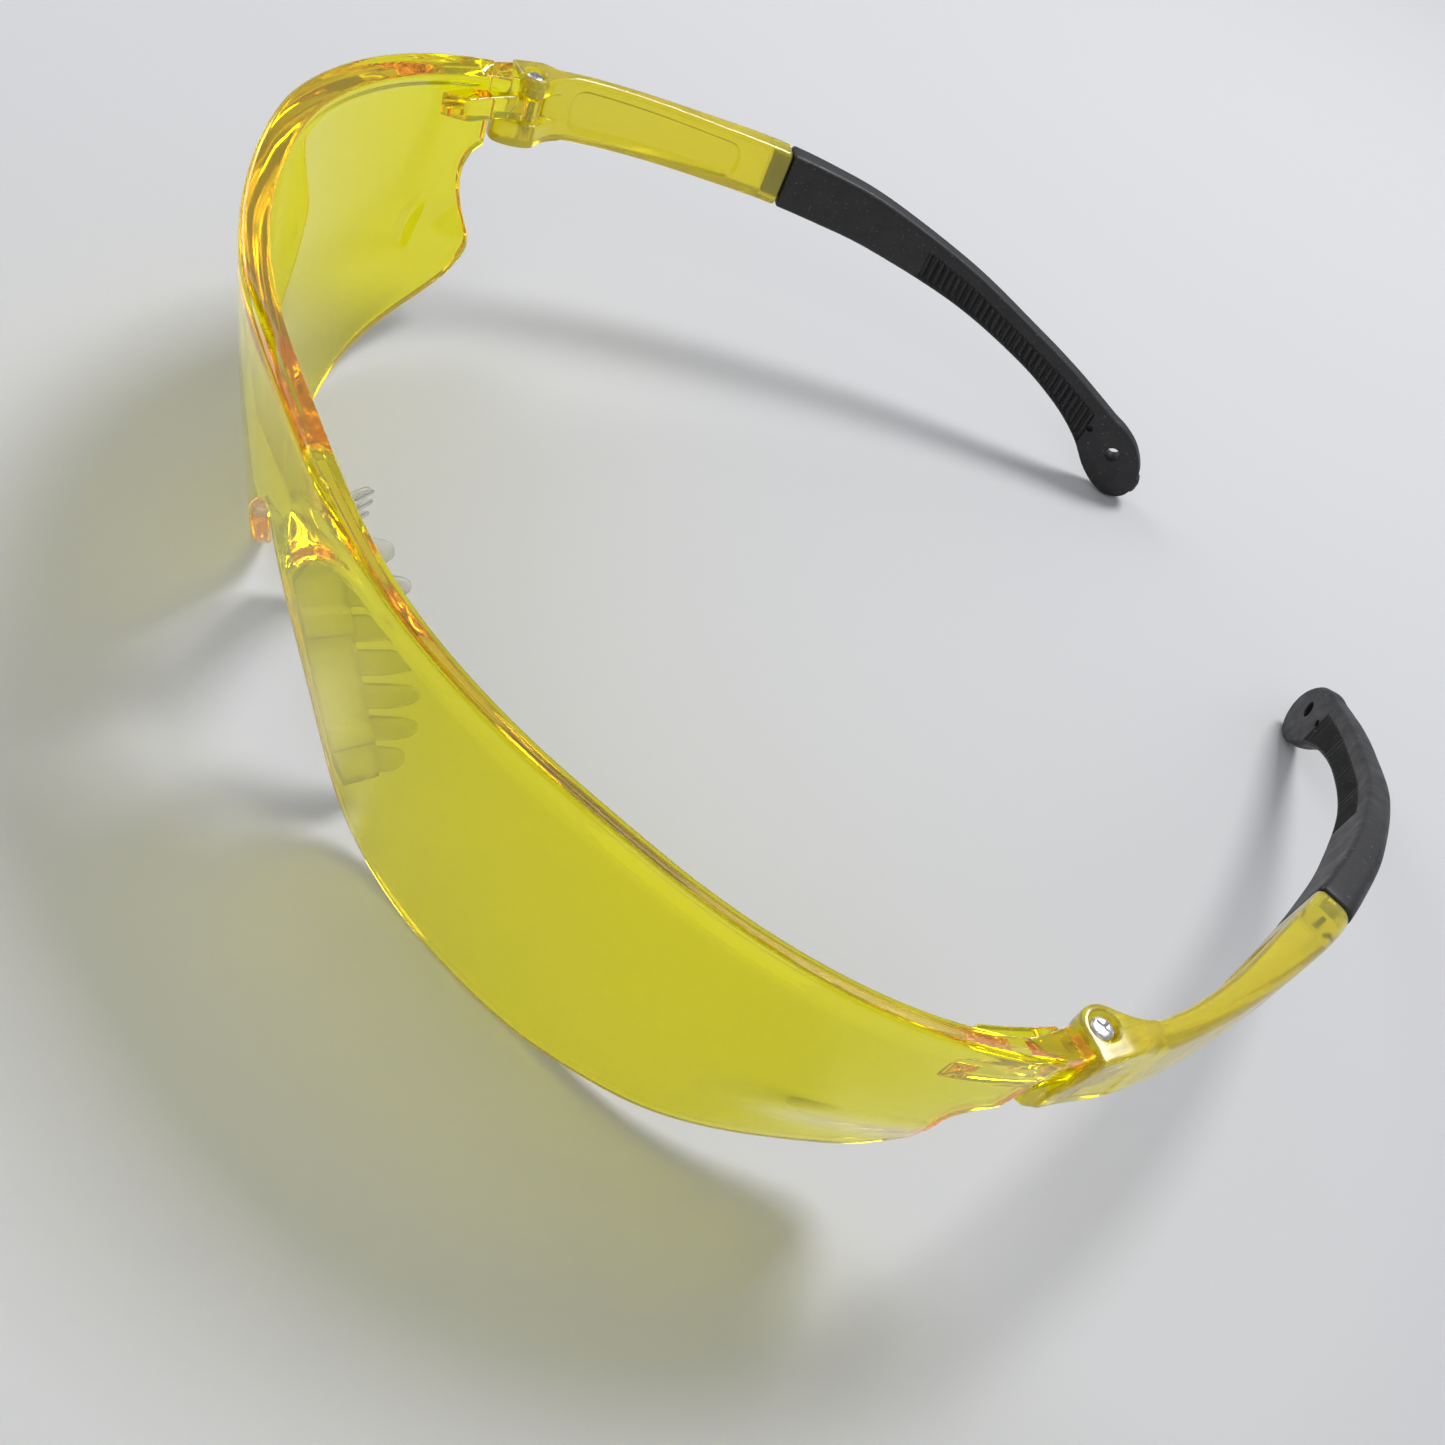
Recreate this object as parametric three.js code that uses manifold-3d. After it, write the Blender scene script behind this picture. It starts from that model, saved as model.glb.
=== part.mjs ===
// Wraparound safety spectacles: a one-piece lens front with a brow rim, two soft nose pads, and two
// folding temples, each a moulded arm with a rubber tip, turning on a screw through the lens's lug.
// Millimetres, +Z up, front towards -Y. The origin is the middle of the footprint, on the surface
// that the open spectacles stand on. Until the last step, Y is measured from the front of the bridge.
import * as THREE from 'three';
import { mergeVertices } from 'three/addons/utils/BufferGeometryUtils.js';
import Module from 'manifold-3d';

const wasm = await Module();
wasm.setup();

// Lens front: seen from above it follows half an ellipse, and it tucks in towards the cheeks.
const WRAP_HALF_WIDTH = 76.2;
const WRAP_DEPTH = 56.7;
const BROW_HEIGHT = 41.7;
const BRIDGE_RISE = 2.8;
const BRIDGE_RISE_SPREAD = 11.5;
const BROW_FALL_START = 36;
const BROW_FALL_RATE = 0.155;
const TUCK_TOP = 44.5;
const TUCK_DEPTH = 6.2;
const TUCK_POWER = 1.4;
const SIDE_TUCK = 1.4;
const LENS_THICKNESS = 2.1;
const RIM_DEPTH = 2.9;
const RIM_HEIGHT = 2.4;
const RIM_SLOPE = 1.2;
const BRIDGE_THICKNESS = 3.8;
const BRIDGE_SLOPE = 2.4;
const BRIDGE_BORDER_LOW = 26.5;
const BRIDGE_BORDER_FROM = 6;
const BRIDGE_BORDER_TO = 21;
const LENS_COLUMNS = 36;
const LENS_ROWS = 11;
// The lower edge from the middle of the nose arch to the rear lobe: degrees round the wrap, height.
const LOWER_EDGE = [
  [0, 27.9], [1.3, 27.2], [4.5, 22.8], [7.3, 19], [9.7, 15], [11.7, 10.5], [13.9, 6], [16.5, 3],
  [20.3, 1.1], [26, 0.1], [34, 0], [40, 0.3], [44.5, 1.1], [53, 2.6], [61.3, 4.5], [69.7, 6.6],
  [73.7, 8], [76.2, 9.7],
];
// The rear edge from the lobe past the notch to the brow.
const REAR_EDGE = [
  [76.2, 9.7], [78, 12.3], [76.8, 16.6], [76.3, 20], [76.6, 22.4], [78, 24.3], [79.6, 25.1],
];
const REAR_TOP_ANGLE = 80.2;

// Hinges: a lug on the lens between two ears on the arm.
const HINGE_X = 72.1;
const HINGE_Y = 52.8;
const EAR_RADIUS = 2.2;
const LOBE_REACH = 4.8;
const EAR_TOP = 35.4;
const EAR_BOTTOM = 25.6;
const LUG_TOP = 32.4;
const LUG_BOTTOM = 29.4;
const LUG_RADIUS = 1.75;
const GAP = 0.3;
const SEAM_LEAN = 1.4;
const BLOCK_DEPTH = 4.6;
const BLOCK_FRONT_ANGLE = 75.6;
const WEB_FRONT_ANGLE = 69.8;
const WEB_DEPTH = 4.6;
const BORE_RADIUS = 1.0;
const SCREW_RADIUS = 0.75;
const SCREW_HEAD_RADIUS = 1.15;
const SCREW_HEAD_HEIGHT = 1.0;
const SCREW_TOP = 35.15;
const SCREW_END = 26.8;
const CROSS_LENGTH = 1.5;
const CROSS_WIDTH = 0.36;
const CROSS_DEPTH = 0.55;

// Temple: stations along the inner face, each [x, y, top, bottom, thickness].
const TEMPLE = [
  [72.4, 55.5, 35.3, 25.6, 2.9], [72.6, 59.5, 35.0, 25.6, 2.6], [72.0, 64.8, 34.6, 25.4, 2.6],
  [70.2, 72.2, 34.0, 25.1, 3.1], [67.5, 80.2, 33.3, 24.7, 3.9], [64.6, 88.3, 32.6, 24.2, 4.4],
  [61.2, 96.8, 31.5, 23.2, 4.2], [57.0, 105.9, 29.6, 21.8, 3.9], [49.4, 119.4, 24.9, 18.4, 3.7],
  [41.6, 129.8, 20.1, 14.2, 3.5], [36.0, 136.2, 16.9, 10.4, 3.4], [32.0, 140.3, 14.5, 6.7, 3.4],
  [29.2, 143.0, 12.9, 2.9, 3.3], [27.2, 145.0, 11.9, 0.9, 3.2], [25.4, 146.8, 10.4, 0.05, 3.2],
  [24.1, 148.1, 8.6, 0.35, 3.2], [23.2, 149.0, 6.7, 1.3, 3.2], [22.8, 149.4, 5.1, 2.6, 3.2],
];
const JUNCTION = 5;
const COLLAR_LENGTH = 0.3;
const TONGUE_END = 6.6;
const PADDLE_START = 12;
const CORNER = 0.9;
const COLLAR_WALL = 0.6;
const SLEEVE_WALL = 0.75;
const PANEL = { from: 0.9, to: 4.45, depth: 0.5, top: 1.3, bottom: 1.7 };
const GRIP = { from: 7.0, to: 11.2, depth: 0.5, top: 1.3, bottom: 1.3 };
const CORD_HOLE = { x: 26.9, y: 145.3, z: 7.2, radius: 1.2 };
const DIMPLE = { x: 30.7, y: 141.5, z: 9.4, radius: 0.55, depth: 0.7 };

// Nose pads: a plate running back from each side of the nose arch, with a row of soft petals.
const PAD_TOP = 27.3;
const PAD_BOTTOM = 5.2;
const PAD_TOP_ANGLE = 3.1;
const PAD_BOTTOM_ANGLE = 13.65;
const PAD_WIDTH = 4.8;
const PAD_THICKNESS = 1.1;
const PAD_CLEARANCE = 0.45;
const PAD_LEAN = -1;
const PAD_SKEW = -1.7;
const PETAL_LENGTHS = [3, 4.9, 5.8, 6.2, 6.3, 6, 4.6];
const PETAL_WIDTH = 2.9;
const PETAL_THICKNESS = 0.9;
const MOUNT_LUGS = [0.23, 0.7];
const LUG_RISE = 0.8;

const AMBER = new THREE.MeshStandardMaterial({ color: 0xd9c400, roughness: 0.08, metalness: 0 });
const ARM_YELLOW = new THREE.MeshStandardMaterial({ color: 0xe0cf1a, roughness: 0.22, metalness: 0 });
const BLACK_RUBBER = new THREE.MeshStandardMaterial({ color: 0x16161a, roughness: 0.65, metalness: 0 });
const CLEAR_SOFT = new THREE.MeshStandardMaterial({ color: 0xe6e9e2, roughness: 0.3, metalness: 0 });
const STEEL = new THREE.MeshStandardMaterial({ color: 0xb9bcc0, roughness: 0.3, metalness: 1 });

const radians = THREE.MathUtils.degToRad;
const mix = THREE.MathUtils.lerp;
const smooth = THREE.MathUtils.smoothstep;

// ---- Closed meshes and booleans ----

function signedVolume(points, faces) {
  let volume = 0;
  for (const [a, b, c] of faces) {
    volume += points[a].dot(new THREE.Vector3().crossVectors(points[b], points[c])) / 6;
  }
  return volume;
}

function closedGeometry(points, faces) {
  const outward = signedVolume(points, faces) > 0;
  const geometry = new THREE.BufferGeometry().setFromPoints(points);
  geometry.setIndex(faces.flatMap(([a, b, c]) => (outward ? [a, b, c] : [a, c, b])));
  return geometry;
}

function toSolid(geometry) {
  const bare = geometry.clone();
  bare.deleteAttribute('normal');
  bare.deleteAttribute('uv');
  const merged = mergeVertices(bare, 1e-4);
  return new wasm.Manifold(new wasm.Mesh({
    numProp: 3,
    vertProperties: new Float32Array(merged.getAttribute('position').array),
    triVerts: new Uint32Array(merged.index.array),
  }));
}

function toGeometry(manifold) {
  const mesh = manifold.getMesh();
  const geometry = new THREE.BufferGeometry();
  geometry.setAttribute('position', new THREE.BufferAttribute(mesh.vertProperties, 3));
  geometry.setIndex(new THREE.BufferAttribute(mesh.triVerts, 1));
  return geometry;
}

// A solid between two surfaces, each a function of u and v from 0 to 1.
function patchSolid(outer, inner, columns, rows) {
  const points = [];
  for (const surface of [outer, inner]) {
    for (let i = 0; i <= columns; i += 1) {
      for (let j = 0; j <= rows; j += 1) points.push(surface(i / columns, j / rows));
    }
  }
  const layer = (columns + 1) * (rows + 1);
  const at = (i, j, k) => k * layer + i * (rows + 1) + j;
  const faces = [];
  const quad = (a, b, c, d) => faces.push([a, b, c], [a, c, d]);
  for (let i = 0; i < columns; i += 1) {
    for (let j = 0; j < rows; j += 1) {
      quad(at(i, j, 0), at(i + 1, j, 0), at(i + 1, j + 1, 0), at(i, j + 1, 0));
      quad(at(i, j, 1), at(i, j + 1, 1), at(i + 1, j + 1, 1), at(i + 1, j, 1));
    }
    quad(at(i, 0, 0), at(i, 0, 1), at(i + 1, 0, 1), at(i + 1, 0, 0));
    quad(at(i, rows, 0), at(i + 1, rows, 0), at(i + 1, rows, 1), at(i, rows, 1));
  }
  for (let j = 0; j < rows; j += 1) {
    quad(at(0, j, 0), at(0, j + 1, 0), at(0, j + 1, 1), at(0, j, 1));
    quad(at(columns, j, 0), at(columns, j, 1), at(columns, j + 1, 1), at(columns, j + 1, 0));
  }
  return toSolid(closedGeometry(points, faces));
}

// A solid lofted through rings of equal length, each convex.
function loftSolid(rings) {
  const size = rings[0].length;
  const faces = [];
  for (let i = 0; i < rings.length - 1; i += 1) {
    for (let j = 0; j < size; j += 1) {
      const next = (j + 1) % size;
      const [a, b] = [i * size + j, i * size + next];
      const [c, d] = [b + size, a + size];
      faces.push([a, b, c], [a, c, d]);
    }
  }
  const last = (rings.length - 1) * size;
  for (let j = 1; j < size - 1; j += 1) {
    faces.push([0, j + 1, j], [last, last + j, last + j + 1]);
  }
  return toSolid(closedGeometry(rings.flat(), faces));
}

function verticalExtrusion(shape, bottom, top, curveSegments = 8) {
  const options = { depth: top - bottom, bevelEnabled: false, curveSegments };
  return toSolid(new THREE.ExtrudeGeometry(shape, options).translate(0, 0, bottom));
}

function uprightCylinder(x, y, radius, bottom, top, segments = 20) {
  const geometry = new THREE.CylinderGeometry(radius, radius, top - bottom, segments);
  return toSolid(geometry.rotateX(Math.PI / 2).translate(x, y, (top + bottom) / 2));
}

function box(lowX, lowY, lowZ, highX, highY, highZ) {
  const geometry = new THREE.BoxGeometry(highX - lowX, highY - lowY, highZ - lowZ);
  return toSolid(geometry.translate((lowX + highX) / 2, (lowY + highY) / 2, (lowZ + highZ) / 2));
}

function mirrored(geometry) {
  const copy = geometry.clone().scale(-1, 1, 1);
  const order = copy.index.array;
  for (let i = 0; i < order.length; i += 3) [order[i], order[i + 1]] = [order[i + 1], order[i]];
  return copy;
}

// ---- The lens's surface ----

// How far the lens has tucked in from the brow's ellipse, at an angle round the wrap and a height.
function tuck(degrees, z) {
  const depth = Math.max(TUCK_TOP - z, 0) / TUCK_TOP;
  const side = smooth(Math.abs(degrees), 50, 70) * (1 - smooth(z, 10, 20));
  return TUCK_DEPTH * depth ** TUCK_POWER + SIDE_TUCK * side;
}

// A point of the lens, `inward` millimetres behind its outer surface.
function wrapPoint(degrees, z, inward = 0) {
  const angle = radians(degrees);
  const normal = new THREE.Vector2(-Math.sin(angle) * WRAP_DEPTH, Math.cos(angle) * WRAP_HALF_WIDTH);
  normal.normalize().multiplyScalar(tuck(degrees, z) + inward);
  const x = WRAP_HALF_WIDTH * Math.sin(angle) + normal.x;
  const y = WRAP_DEPTH * (1 - Math.cos(angle)) + normal.y;
  return new THREE.Vector3(x, y, z);
}

function browHeight(degrees) {
  const angle = Math.abs(degrees);
  const rise = BRIDGE_RISE * Math.exp(-((angle / BRIDGE_RISE_SPREAD) ** 2));
  const past = Math.max(angle - BROW_FALL_START, 0);
  return BROW_HEIGHT + rise - BROW_FALL_RATE * (past < 8 ? past * past / 16 : past - 4);
}

// 1 at the middle of the bridge, falling to 0 where it has become the plain rim.
function bridgeShare(degrees, z) {
  return 1 - smooth(Math.abs(wrapPoint(degrees, z).x), 8, 30);
}

// The thin lenses thicken into the bridge and rim at a border that arches up from the nose.
function lensThickness(degrees, z, isRim) {
  const thick = mix(RIM_DEPTH, BRIDGE_THICKNESS, bridgeShare(degrees, z));
  if (isRim) return thick;
  const x = Math.abs(wrapPoint(degrees, z).x);
  const along = (x - BRIDGE_BORDER_FROM) / (BRIDGE_BORDER_TO - BRIDGE_BORDER_FROM);
  const arch = Math.sin(THREE.MathUtils.clamp(along, 0, 1) * Math.PI / 2);
  const border = mix(BRIDGE_BORDER_LOW, browHeight(degrees) - RIM_HEIGHT - RIM_SLOPE, arch);
  return mix(LENS_THICKNESS, thick, smooth(z - border, -1.5, 1.5));
}

function splineThrough(points) {
  const curve = new THREE.SplineCurve(points.map(([a, b]) => new THREE.Vector2(a, b)));
  curve.arcLengthDivisions = 600;
  return curve;
}

// The whole lower edge, so that the nose arch is round at its middle.
const mirroredEdge = LOWER_EDGE.slice(1).reverse().map(([degrees, z]) => [-degrees, z]);
const lowerEdge = splineThrough([...mirroredEdge, ...LOWER_EDGE]);
const rearEdge = splineThrough(REAR_EDGE);

function rearAngle(z) {
  const [, lowest] = REAR_EDGE[0];
  const [highestAngle, highest] = REAR_EDGE[REAR_EDGE.length - 1];
  if (z >= highest) {
    const rise = (z - highest) / (EAR_TOP - highest);
    return mix(highestAngle, REAR_TOP_ANGLE, Math.min(rise, 1));
  }
  let [low, high] = [0, 1];
  for (let step = 0; step < 24; step += 1) {
    const middle = (low + high) / 2;
    if (rearEdge.getPoint(middle).y < Math.max(z, lowest)) low = middle;
    else high = middle;
  }
  return rearEdge.getPoint(low).x;
}

// Heights of one column of the lens from its lower edge: even rows, then the rim's two edges.
function columnShare(row, height) {
  const rimRows = [1 - (RIM_HEIGHT + 0.5) / height, 1 - RIM_HEIGHT / height, 1];
  const plainRows = LENS_ROWS - 2;
  return row < plainRows ? rimRows[0] * row / plainRows : rimRows[row - plainRows];
}

// Angle and height of one point of the lens's grid; u runs from the left rear edge to the right.
function lensGrid(u, v) {
  const side = u < 0.5 ? -1 : 1;
  const s = Math.abs(2 * u - 1);
  const low = lowerEdge.getPointAt(0.5 + s / 2);
  low.y = Math.max(low.y, 0);
  const topAngle = REAR_TOP_ANGLE * s;
  const top = browHeight(topAngle);
  const share = columnShare(Math.round(v * LENS_ROWS), top - low.y);
  const z = mix(low.y, top, share);
  const straight = mix(low.x, topAngle, share);
  const rearPull = rearAngle(z) - mix(LOWER_EDGE[LOWER_EDGE.length - 1][0], REAR_TOP_ANGLE, share);
  const angle = straight + rearPull * smooth(s, 0.72, 1) ** 2;
  return { degrees: side * angle, z, isRim: share > 1 - (RIM_HEIGHT + 0.1) / (top - low.y), share };
}

function lensOuter(u, v) {
  const { degrees, z } = lensGrid(u, v);
  return wrapPoint(degrees, z);
}

function lensInner(u, v) {
  const { degrees, z, isRim, share } = lensGrid(u, v);
  const point = wrapPoint(degrees, z, lensThickness(degrees, z, isRim));
  if (share === 1) point.z -= mix(RIM_SLOPE, BRIDGE_SLOPE, bridgeShare(degrees, z));
  return point;
}

// How far forward an arm's outer skin comes: it leans back towards the top.
function seamY(z) {
  return HINGE_Y - EAR_RADIUS - SEAM_LEAN * (1 - smooth(z, LUG_BOTTOM, LUG_TOP + GAP));
}

// The block, stiffening web and pierced lug that carry a temple, on the +X side.
function hingeSolid() {
  const rear = HINGE_Y - EAR_RADIUS - GAP;
  const rearDegrees = THREE.MathUtils.radToDeg(Math.acos(1 - (rear + 1) / WRAP_DEPTH));
  const slab = (front, bottom, top, near, far) => {
    const spot = (u, v) => [mix(front, rearDegrees, u), mix(bottom, top, v)];
    return patchSolid(
      (u, v) => wrapPoint(...spot(u, v), near),
      (u, v) => wrapPoint(...spot(u, v), far(u)), 8, 2);
  };
  const block = slab(BLOCK_FRONT_ANGLE, LUG_BOTTOM, EAR_TOP - 0.1, 0,
    (u) => mix(LENS_THICKNESS + 0.1, BLOCK_DEPTH, u));
  const web = slab(WEB_FRONT_ANGLE, LUG_BOTTOM + 0.5, LUG_TOP + 0.4, LENS_THICKNESS - 0.6,
    (u) => mix(LENS_THICKNESS - 0.3, WEB_DEPTH, Math.min(1, 4 * u)));
  const clearance = patchSolid(
    (u, v) => new THREE.Vector3(mix(HINGE_X + 12, HINGE_X - 12, u), seamY(60 * v) - GAP, 60 * v),
    (u, v) => new THREE.Vector3(mix(HINGE_X + 12, HINGE_X - 12, u), HINGE_Y + 12, 60 * v), 1, 60);
  const neck = box(HINGE_X - LUG_RADIUS, rear - 3, LUG_BOTTOM,
    HINGE_X + LUG_RADIUS, HINGE_Y, LUG_TOP);
  const lug = uprightCylinder(HINGE_X, HINGE_Y, LUG_RADIUS, LUG_BOTTOM, LUG_TOP);
  return block.add(web).subtract(clearance).add(neck).add(lug);
}

function hingeBore() {
  return uprightCylinder(HINGE_X, HINGE_Y, BORE_RADIUS, LUG_BOTTOM - 1, LUG_TOP + 1);
}

function lensGeometry() {
  const shell = patchSolid(lensOuter, lensInner, 2 * LENS_COLUMNS, LENS_ROWS);
  const hinge = toGeometry(hingeSolid());
  const bore = toGeometry(hingeBore());
  return toGeometry(shell
    .add(toSolid(hinge)).add(toSolid(mirrored(hinge)))
    .subtract(toSolid(bore)).subtract(toSolid(mirrored(bore))));
}

// ---- Nose pads ----

// A point of the pad: `across` from the lens backwards, `along` from bottom to top, `aside` from the
// plate's outer face.
function padPoint(across, along, aside) {
  const narrowing = 0.16 * (1 + smooth(along, 0.9, 1) - smooth(along, 0, 0.1));
  const reach = mix(narrowing / 2, 1 - narrowing / 2, across);
  const z = mix(PAD_BOTTOM, PAD_TOP, along) + PAD_SKEW * reach;
  const degrees = mix(PAD_BOTTOM_ANGLE, PAD_TOP_ANGLE, along) + PAD_LEAN * reach;
  const lens = lensThickness(degrees, z + 1.5, false);
  const point = wrapPoint(degrees, z, lens + PAD_CLEARANCE + PAD_WIDTH * reach);
  point.x += aside;
  return point;
}

function petalSolid(index) {
  const along = (index + 0.5) / PETAL_LENGTHS.length;
  const root = padPoint(0.9, along, -PAD_THICKNESS / 2);
  const upward = padPoint(0.9, along + 0.02, 0).sub(padPoint(0.9, along - 0.02, 0)).normalize();
  const outward = new THREE.Vector3(0.45, 0.86, mix(0.2, 0.5, along)).normalize();
  const side = new THREE.Vector3().crossVectors(outward, upward).normalize();
  const width = new THREE.Vector3().crossVectors(side, outward).normalize();
  const rings = [];
  const steps = 6;
  for (let step = 0; step <= steps; step += 1) {
    const reach = step / steps;
    const half = PETAL_WIDTH / 2 * Math.sqrt(Math.max(1 - reach ** 4, 0.04));
    const thick = mix(PETAL_THICKNESS, PETAL_THICKNESS * 0.6, reach) / 2;
    const centre = root.clone()
      .addScaledVector(outward, PETAL_LENGTHS[index] * reach)
      .addScaledVector(side, -0.9 * reach * reach);
    const corner = (a, b) => centre.clone()
      .addScaledVector(width, a * half)
      .addScaledVector(side, b * thick);
    rings.push([corner(-1, 0), corner(-0.7, -1), corner(0.7, -1), corner(1, 0),
      corner(0.7, 1), corner(-0.7, 1)]);
  }
  return loftSolid(rings);
}

// A mounting bar across the plate's outer face.
function padLug(along) {
  return patchSolid(
    (u, v) => padPoint(mix(0.03, 0.97, u), along - 0.05, mix(-0.2, LUG_RISE, v)),
    (u, v) => padPoint(mix(0.03, 0.97, u), along + 0.05, mix(-0.2, LUG_RISE, v)), 3, 2);
}

function padGeometry() {
  let pad = patchSolid(
    (u, v) => padPoint(u, v, 0),
    (u, v) => padPoint(u, v, -PAD_THICKNESS), 4, 20);
  for (const index of PETAL_LENGTHS.keys()) pad = pad.add(petalSolid(index));
  for (const along of MOUNT_LUGS) pad = pad.add(padLug(along));
  return toGeometry(pad);
}

// ---- Temples ----

function templeCurve(pick) {
  const points = TEMPLE.map((station) => new THREE.Vector3(...pick(station)));
  return new THREE.CatmullRomCurve3(points, false, 'catmullrom', 0.5);
}

const upperEdgeCurve = templeCurve(([x, y, top]) => [x, y, top]);
const bladeCurve = templeCurve(([, , , bottom, thickness]) => [bottom, thickness, 0]);

// The frame of a temple at a station number, which may lie between two stations.
function templeFrame(station) {
  const share = station / (TEMPLE.length - 1);
  const step = 0.002;
  const edge = upperEdgeCurve.getPoint(share);
  const ahead = upperEdgeCurve.getPoint(Math.min(share + step, 1));
  const behind = upperEdgeCurve.getPoint(Math.max(share - step, 0));
  const forward = new THREE.Vector2(ahead.x - behind.x, ahead.y - behind.y).normalize();
  const blade = bladeCurve.getPoint(share);
  return {
    x: edge.x,
    y: edge.y,
    top: edge.z,
    bottom: blade.x,
    thickness: blade.y,
    outX: forward.y,
    outY: -forward.x,
  };
}

// A rounded section across the temple, between two distances outward from its inner face.
function templeSection(station, { inset = 0, inner = inset, outer = inset, top = inset,
  bottom = inset, corner = CORNER, depth = null }) {
  const frame = templeFrame(station);
  const near = inner;
  const far = depth === null ? frame.thickness - outer : depth;
  const low = frame.bottom + bottom;
  const high = frame.top - top;
  const radius = Math.min(corner, (far - near) * 0.42, (high - low) * 0.42);
  const ring = [];
  const corners = [[near, low, 180], [far, low, 270], [far, high, 0], [near, high, 90]];
  for (const [across, z, start] of corners) {
    const centreAcross = across + (across === near ? radius : -radius);
    const centreZ = z + (z === low ? radius : -radius);
    for (const turn of [0, 45, 90]) {
      const angle = radians(start + turn);
      const out = centreAcross + radius * Math.cos(angle);
      ring.push(new THREE.Vector3(frame.x + frame.outX * out, frame.y + frame.outY * out,
        centreZ + radius * Math.sin(angle)));
    }
  }
  return ring;
}

function templeSolid(from, to, steps, shape = {}) {
  const rings = [];
  for (let step = 0; step <= steps; step += 1) {
    rings.push(templeSection(mix(from, to, step / steps), shape));
  }
  return loftSolid(rings);
}

// Plan outline of an ear, from its front face round the screw boss to where it meets the arm.
function earShape(frontReach, outerX) {
  const shape = new THREE.Shape();
  const rear = HINGE_Y + 5.2;
  shape.moveTo(outerX, HINGE_Y - frontReach + 0.8);
  shape.lineTo(outerX, rear);
  shape.lineTo(HINGE_X + 0.7, rear);
  shape.lineTo(HINGE_X + 0.3, HINGE_Y + 3.4);
  shape.lineTo(HINGE_X - EAR_RADIUS + 0.5, HINGE_Y + 1.6);
  if (frontReach > EAR_RADIUS + 0.5) {
    shape.lineTo(HINGE_X - EAR_RADIUS, HINGE_Y + 0.4);
    shape.lineTo(HINGE_X - EAR_RADIUS, HINGE_Y - 1.5);
    shape.quadraticCurveTo(HINGE_X - EAR_RADIUS + 0.2, HINGE_Y - frontReach + 0.2,
      HINGE_X, HINGE_Y - frontReach);
    shape.quadraticCurveTo(outerX - 0.6, HINGE_Y - frontReach, outerX, HINGE_Y - frontReach + 0.8);
  } else {
    shape.absarc(HINGE_X, HINGE_Y, frontReach, radians(140), radians(270), false);
    shape.lineTo(outerX, HINGE_Y - frontReach);
  }
  shape.closePath();
  return shape;
}

// The outer skin of the arm's head, closed between the ears and level with the lens in front of it.
function cheekSolid() {
  const inside = HINGE_X + LUG_RADIUS + GAP + 0.05;
  const spot = (u, v) => {
    const z = mix(EAR_BOTTOM, EAR_TOP, v);
    return [mix(seamY(z), HINGE_Y + 5.7, u), z];
  };
  const skin = (y, z) => {
    const lensSide = 74.9 + 0.11 * (z - 31);
    return mix(lensSide, 75.25, smooth(y, HINGE_Y - EAR_RADIUS, HINGE_Y + 6.2));
  };
  return patchSolid(
    (u, v) => new THREE.Vector3(skin(...spot(u, v)), ...spot(u, v)),
    (u, v) => new THREE.Vector3(inside, ...spot(u, v)), 6, 8);
}

function armGeometry() {
  const front = 0.35;
  const body = templeSolid(front, JUNCTION + COLLAR_LENGTH, 18);
  const upperEar = verticalExtrusion(earShape(EAR_RADIUS, 74.8), LUG_TOP + GAP, EAR_TOP);
  const lowerEar = verticalExtrusion(earShape(LOBE_REACH, 74.25), EAR_BOTTOM, LUG_BOTTOM - GAP);
  const root = box(HINGE_X + 0.3, HINGE_Y + 2.2, EAR_BOTTOM + 0.2, 75, HINGE_Y + 5, EAR_TOP - 0.2);
  const slot = uprightCylinder(HINGE_X, HINGE_Y, LUG_RADIUS + GAP, LUG_BOTTOM - GAP, LUG_TOP + GAP);
  const socket = templeSolid(JUNCTION - 0.02, JUNCTION + COLLAR_LENGTH + 0.2, 4,
    { inset: COLLAR_WALL });
  const tongue = templeSolid(JUNCTION - 0.2, TONGUE_END, 10,
    { inset: COLLAR_WALL + GAP + SLEEVE_WALL + GAP, corner: 0.4 });
  const panel = templeSolid(PANEL.from, PANEL.to, 14,
    { inner: -2, depth: PANEL.depth, top: PANEL.top, bottom: PANEL.bottom, corner: 0.3 });
  const bore = uprightCylinder(HINGE_X, HINGE_Y, BORE_RADIUS, SCREW_END - GAP, EAR_TOP + 1);
  const headRecess = uprightCylinder(HINGE_X, HINGE_Y, SCREW_HEAD_RADIUS + GAP,
    SCREW_TOP - SCREW_HEAD_HEIGHT - GAP, EAR_TOP + 1);
  return toGeometry(body.add(root).subtract(slot).add(upperEar).add(lowerEar).add(cheekSolid())
    .subtract(panel).subtract(socket).add(tongue).subtract(bore).subtract(headRecess)
    .simplify(0.01));
}

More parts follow.
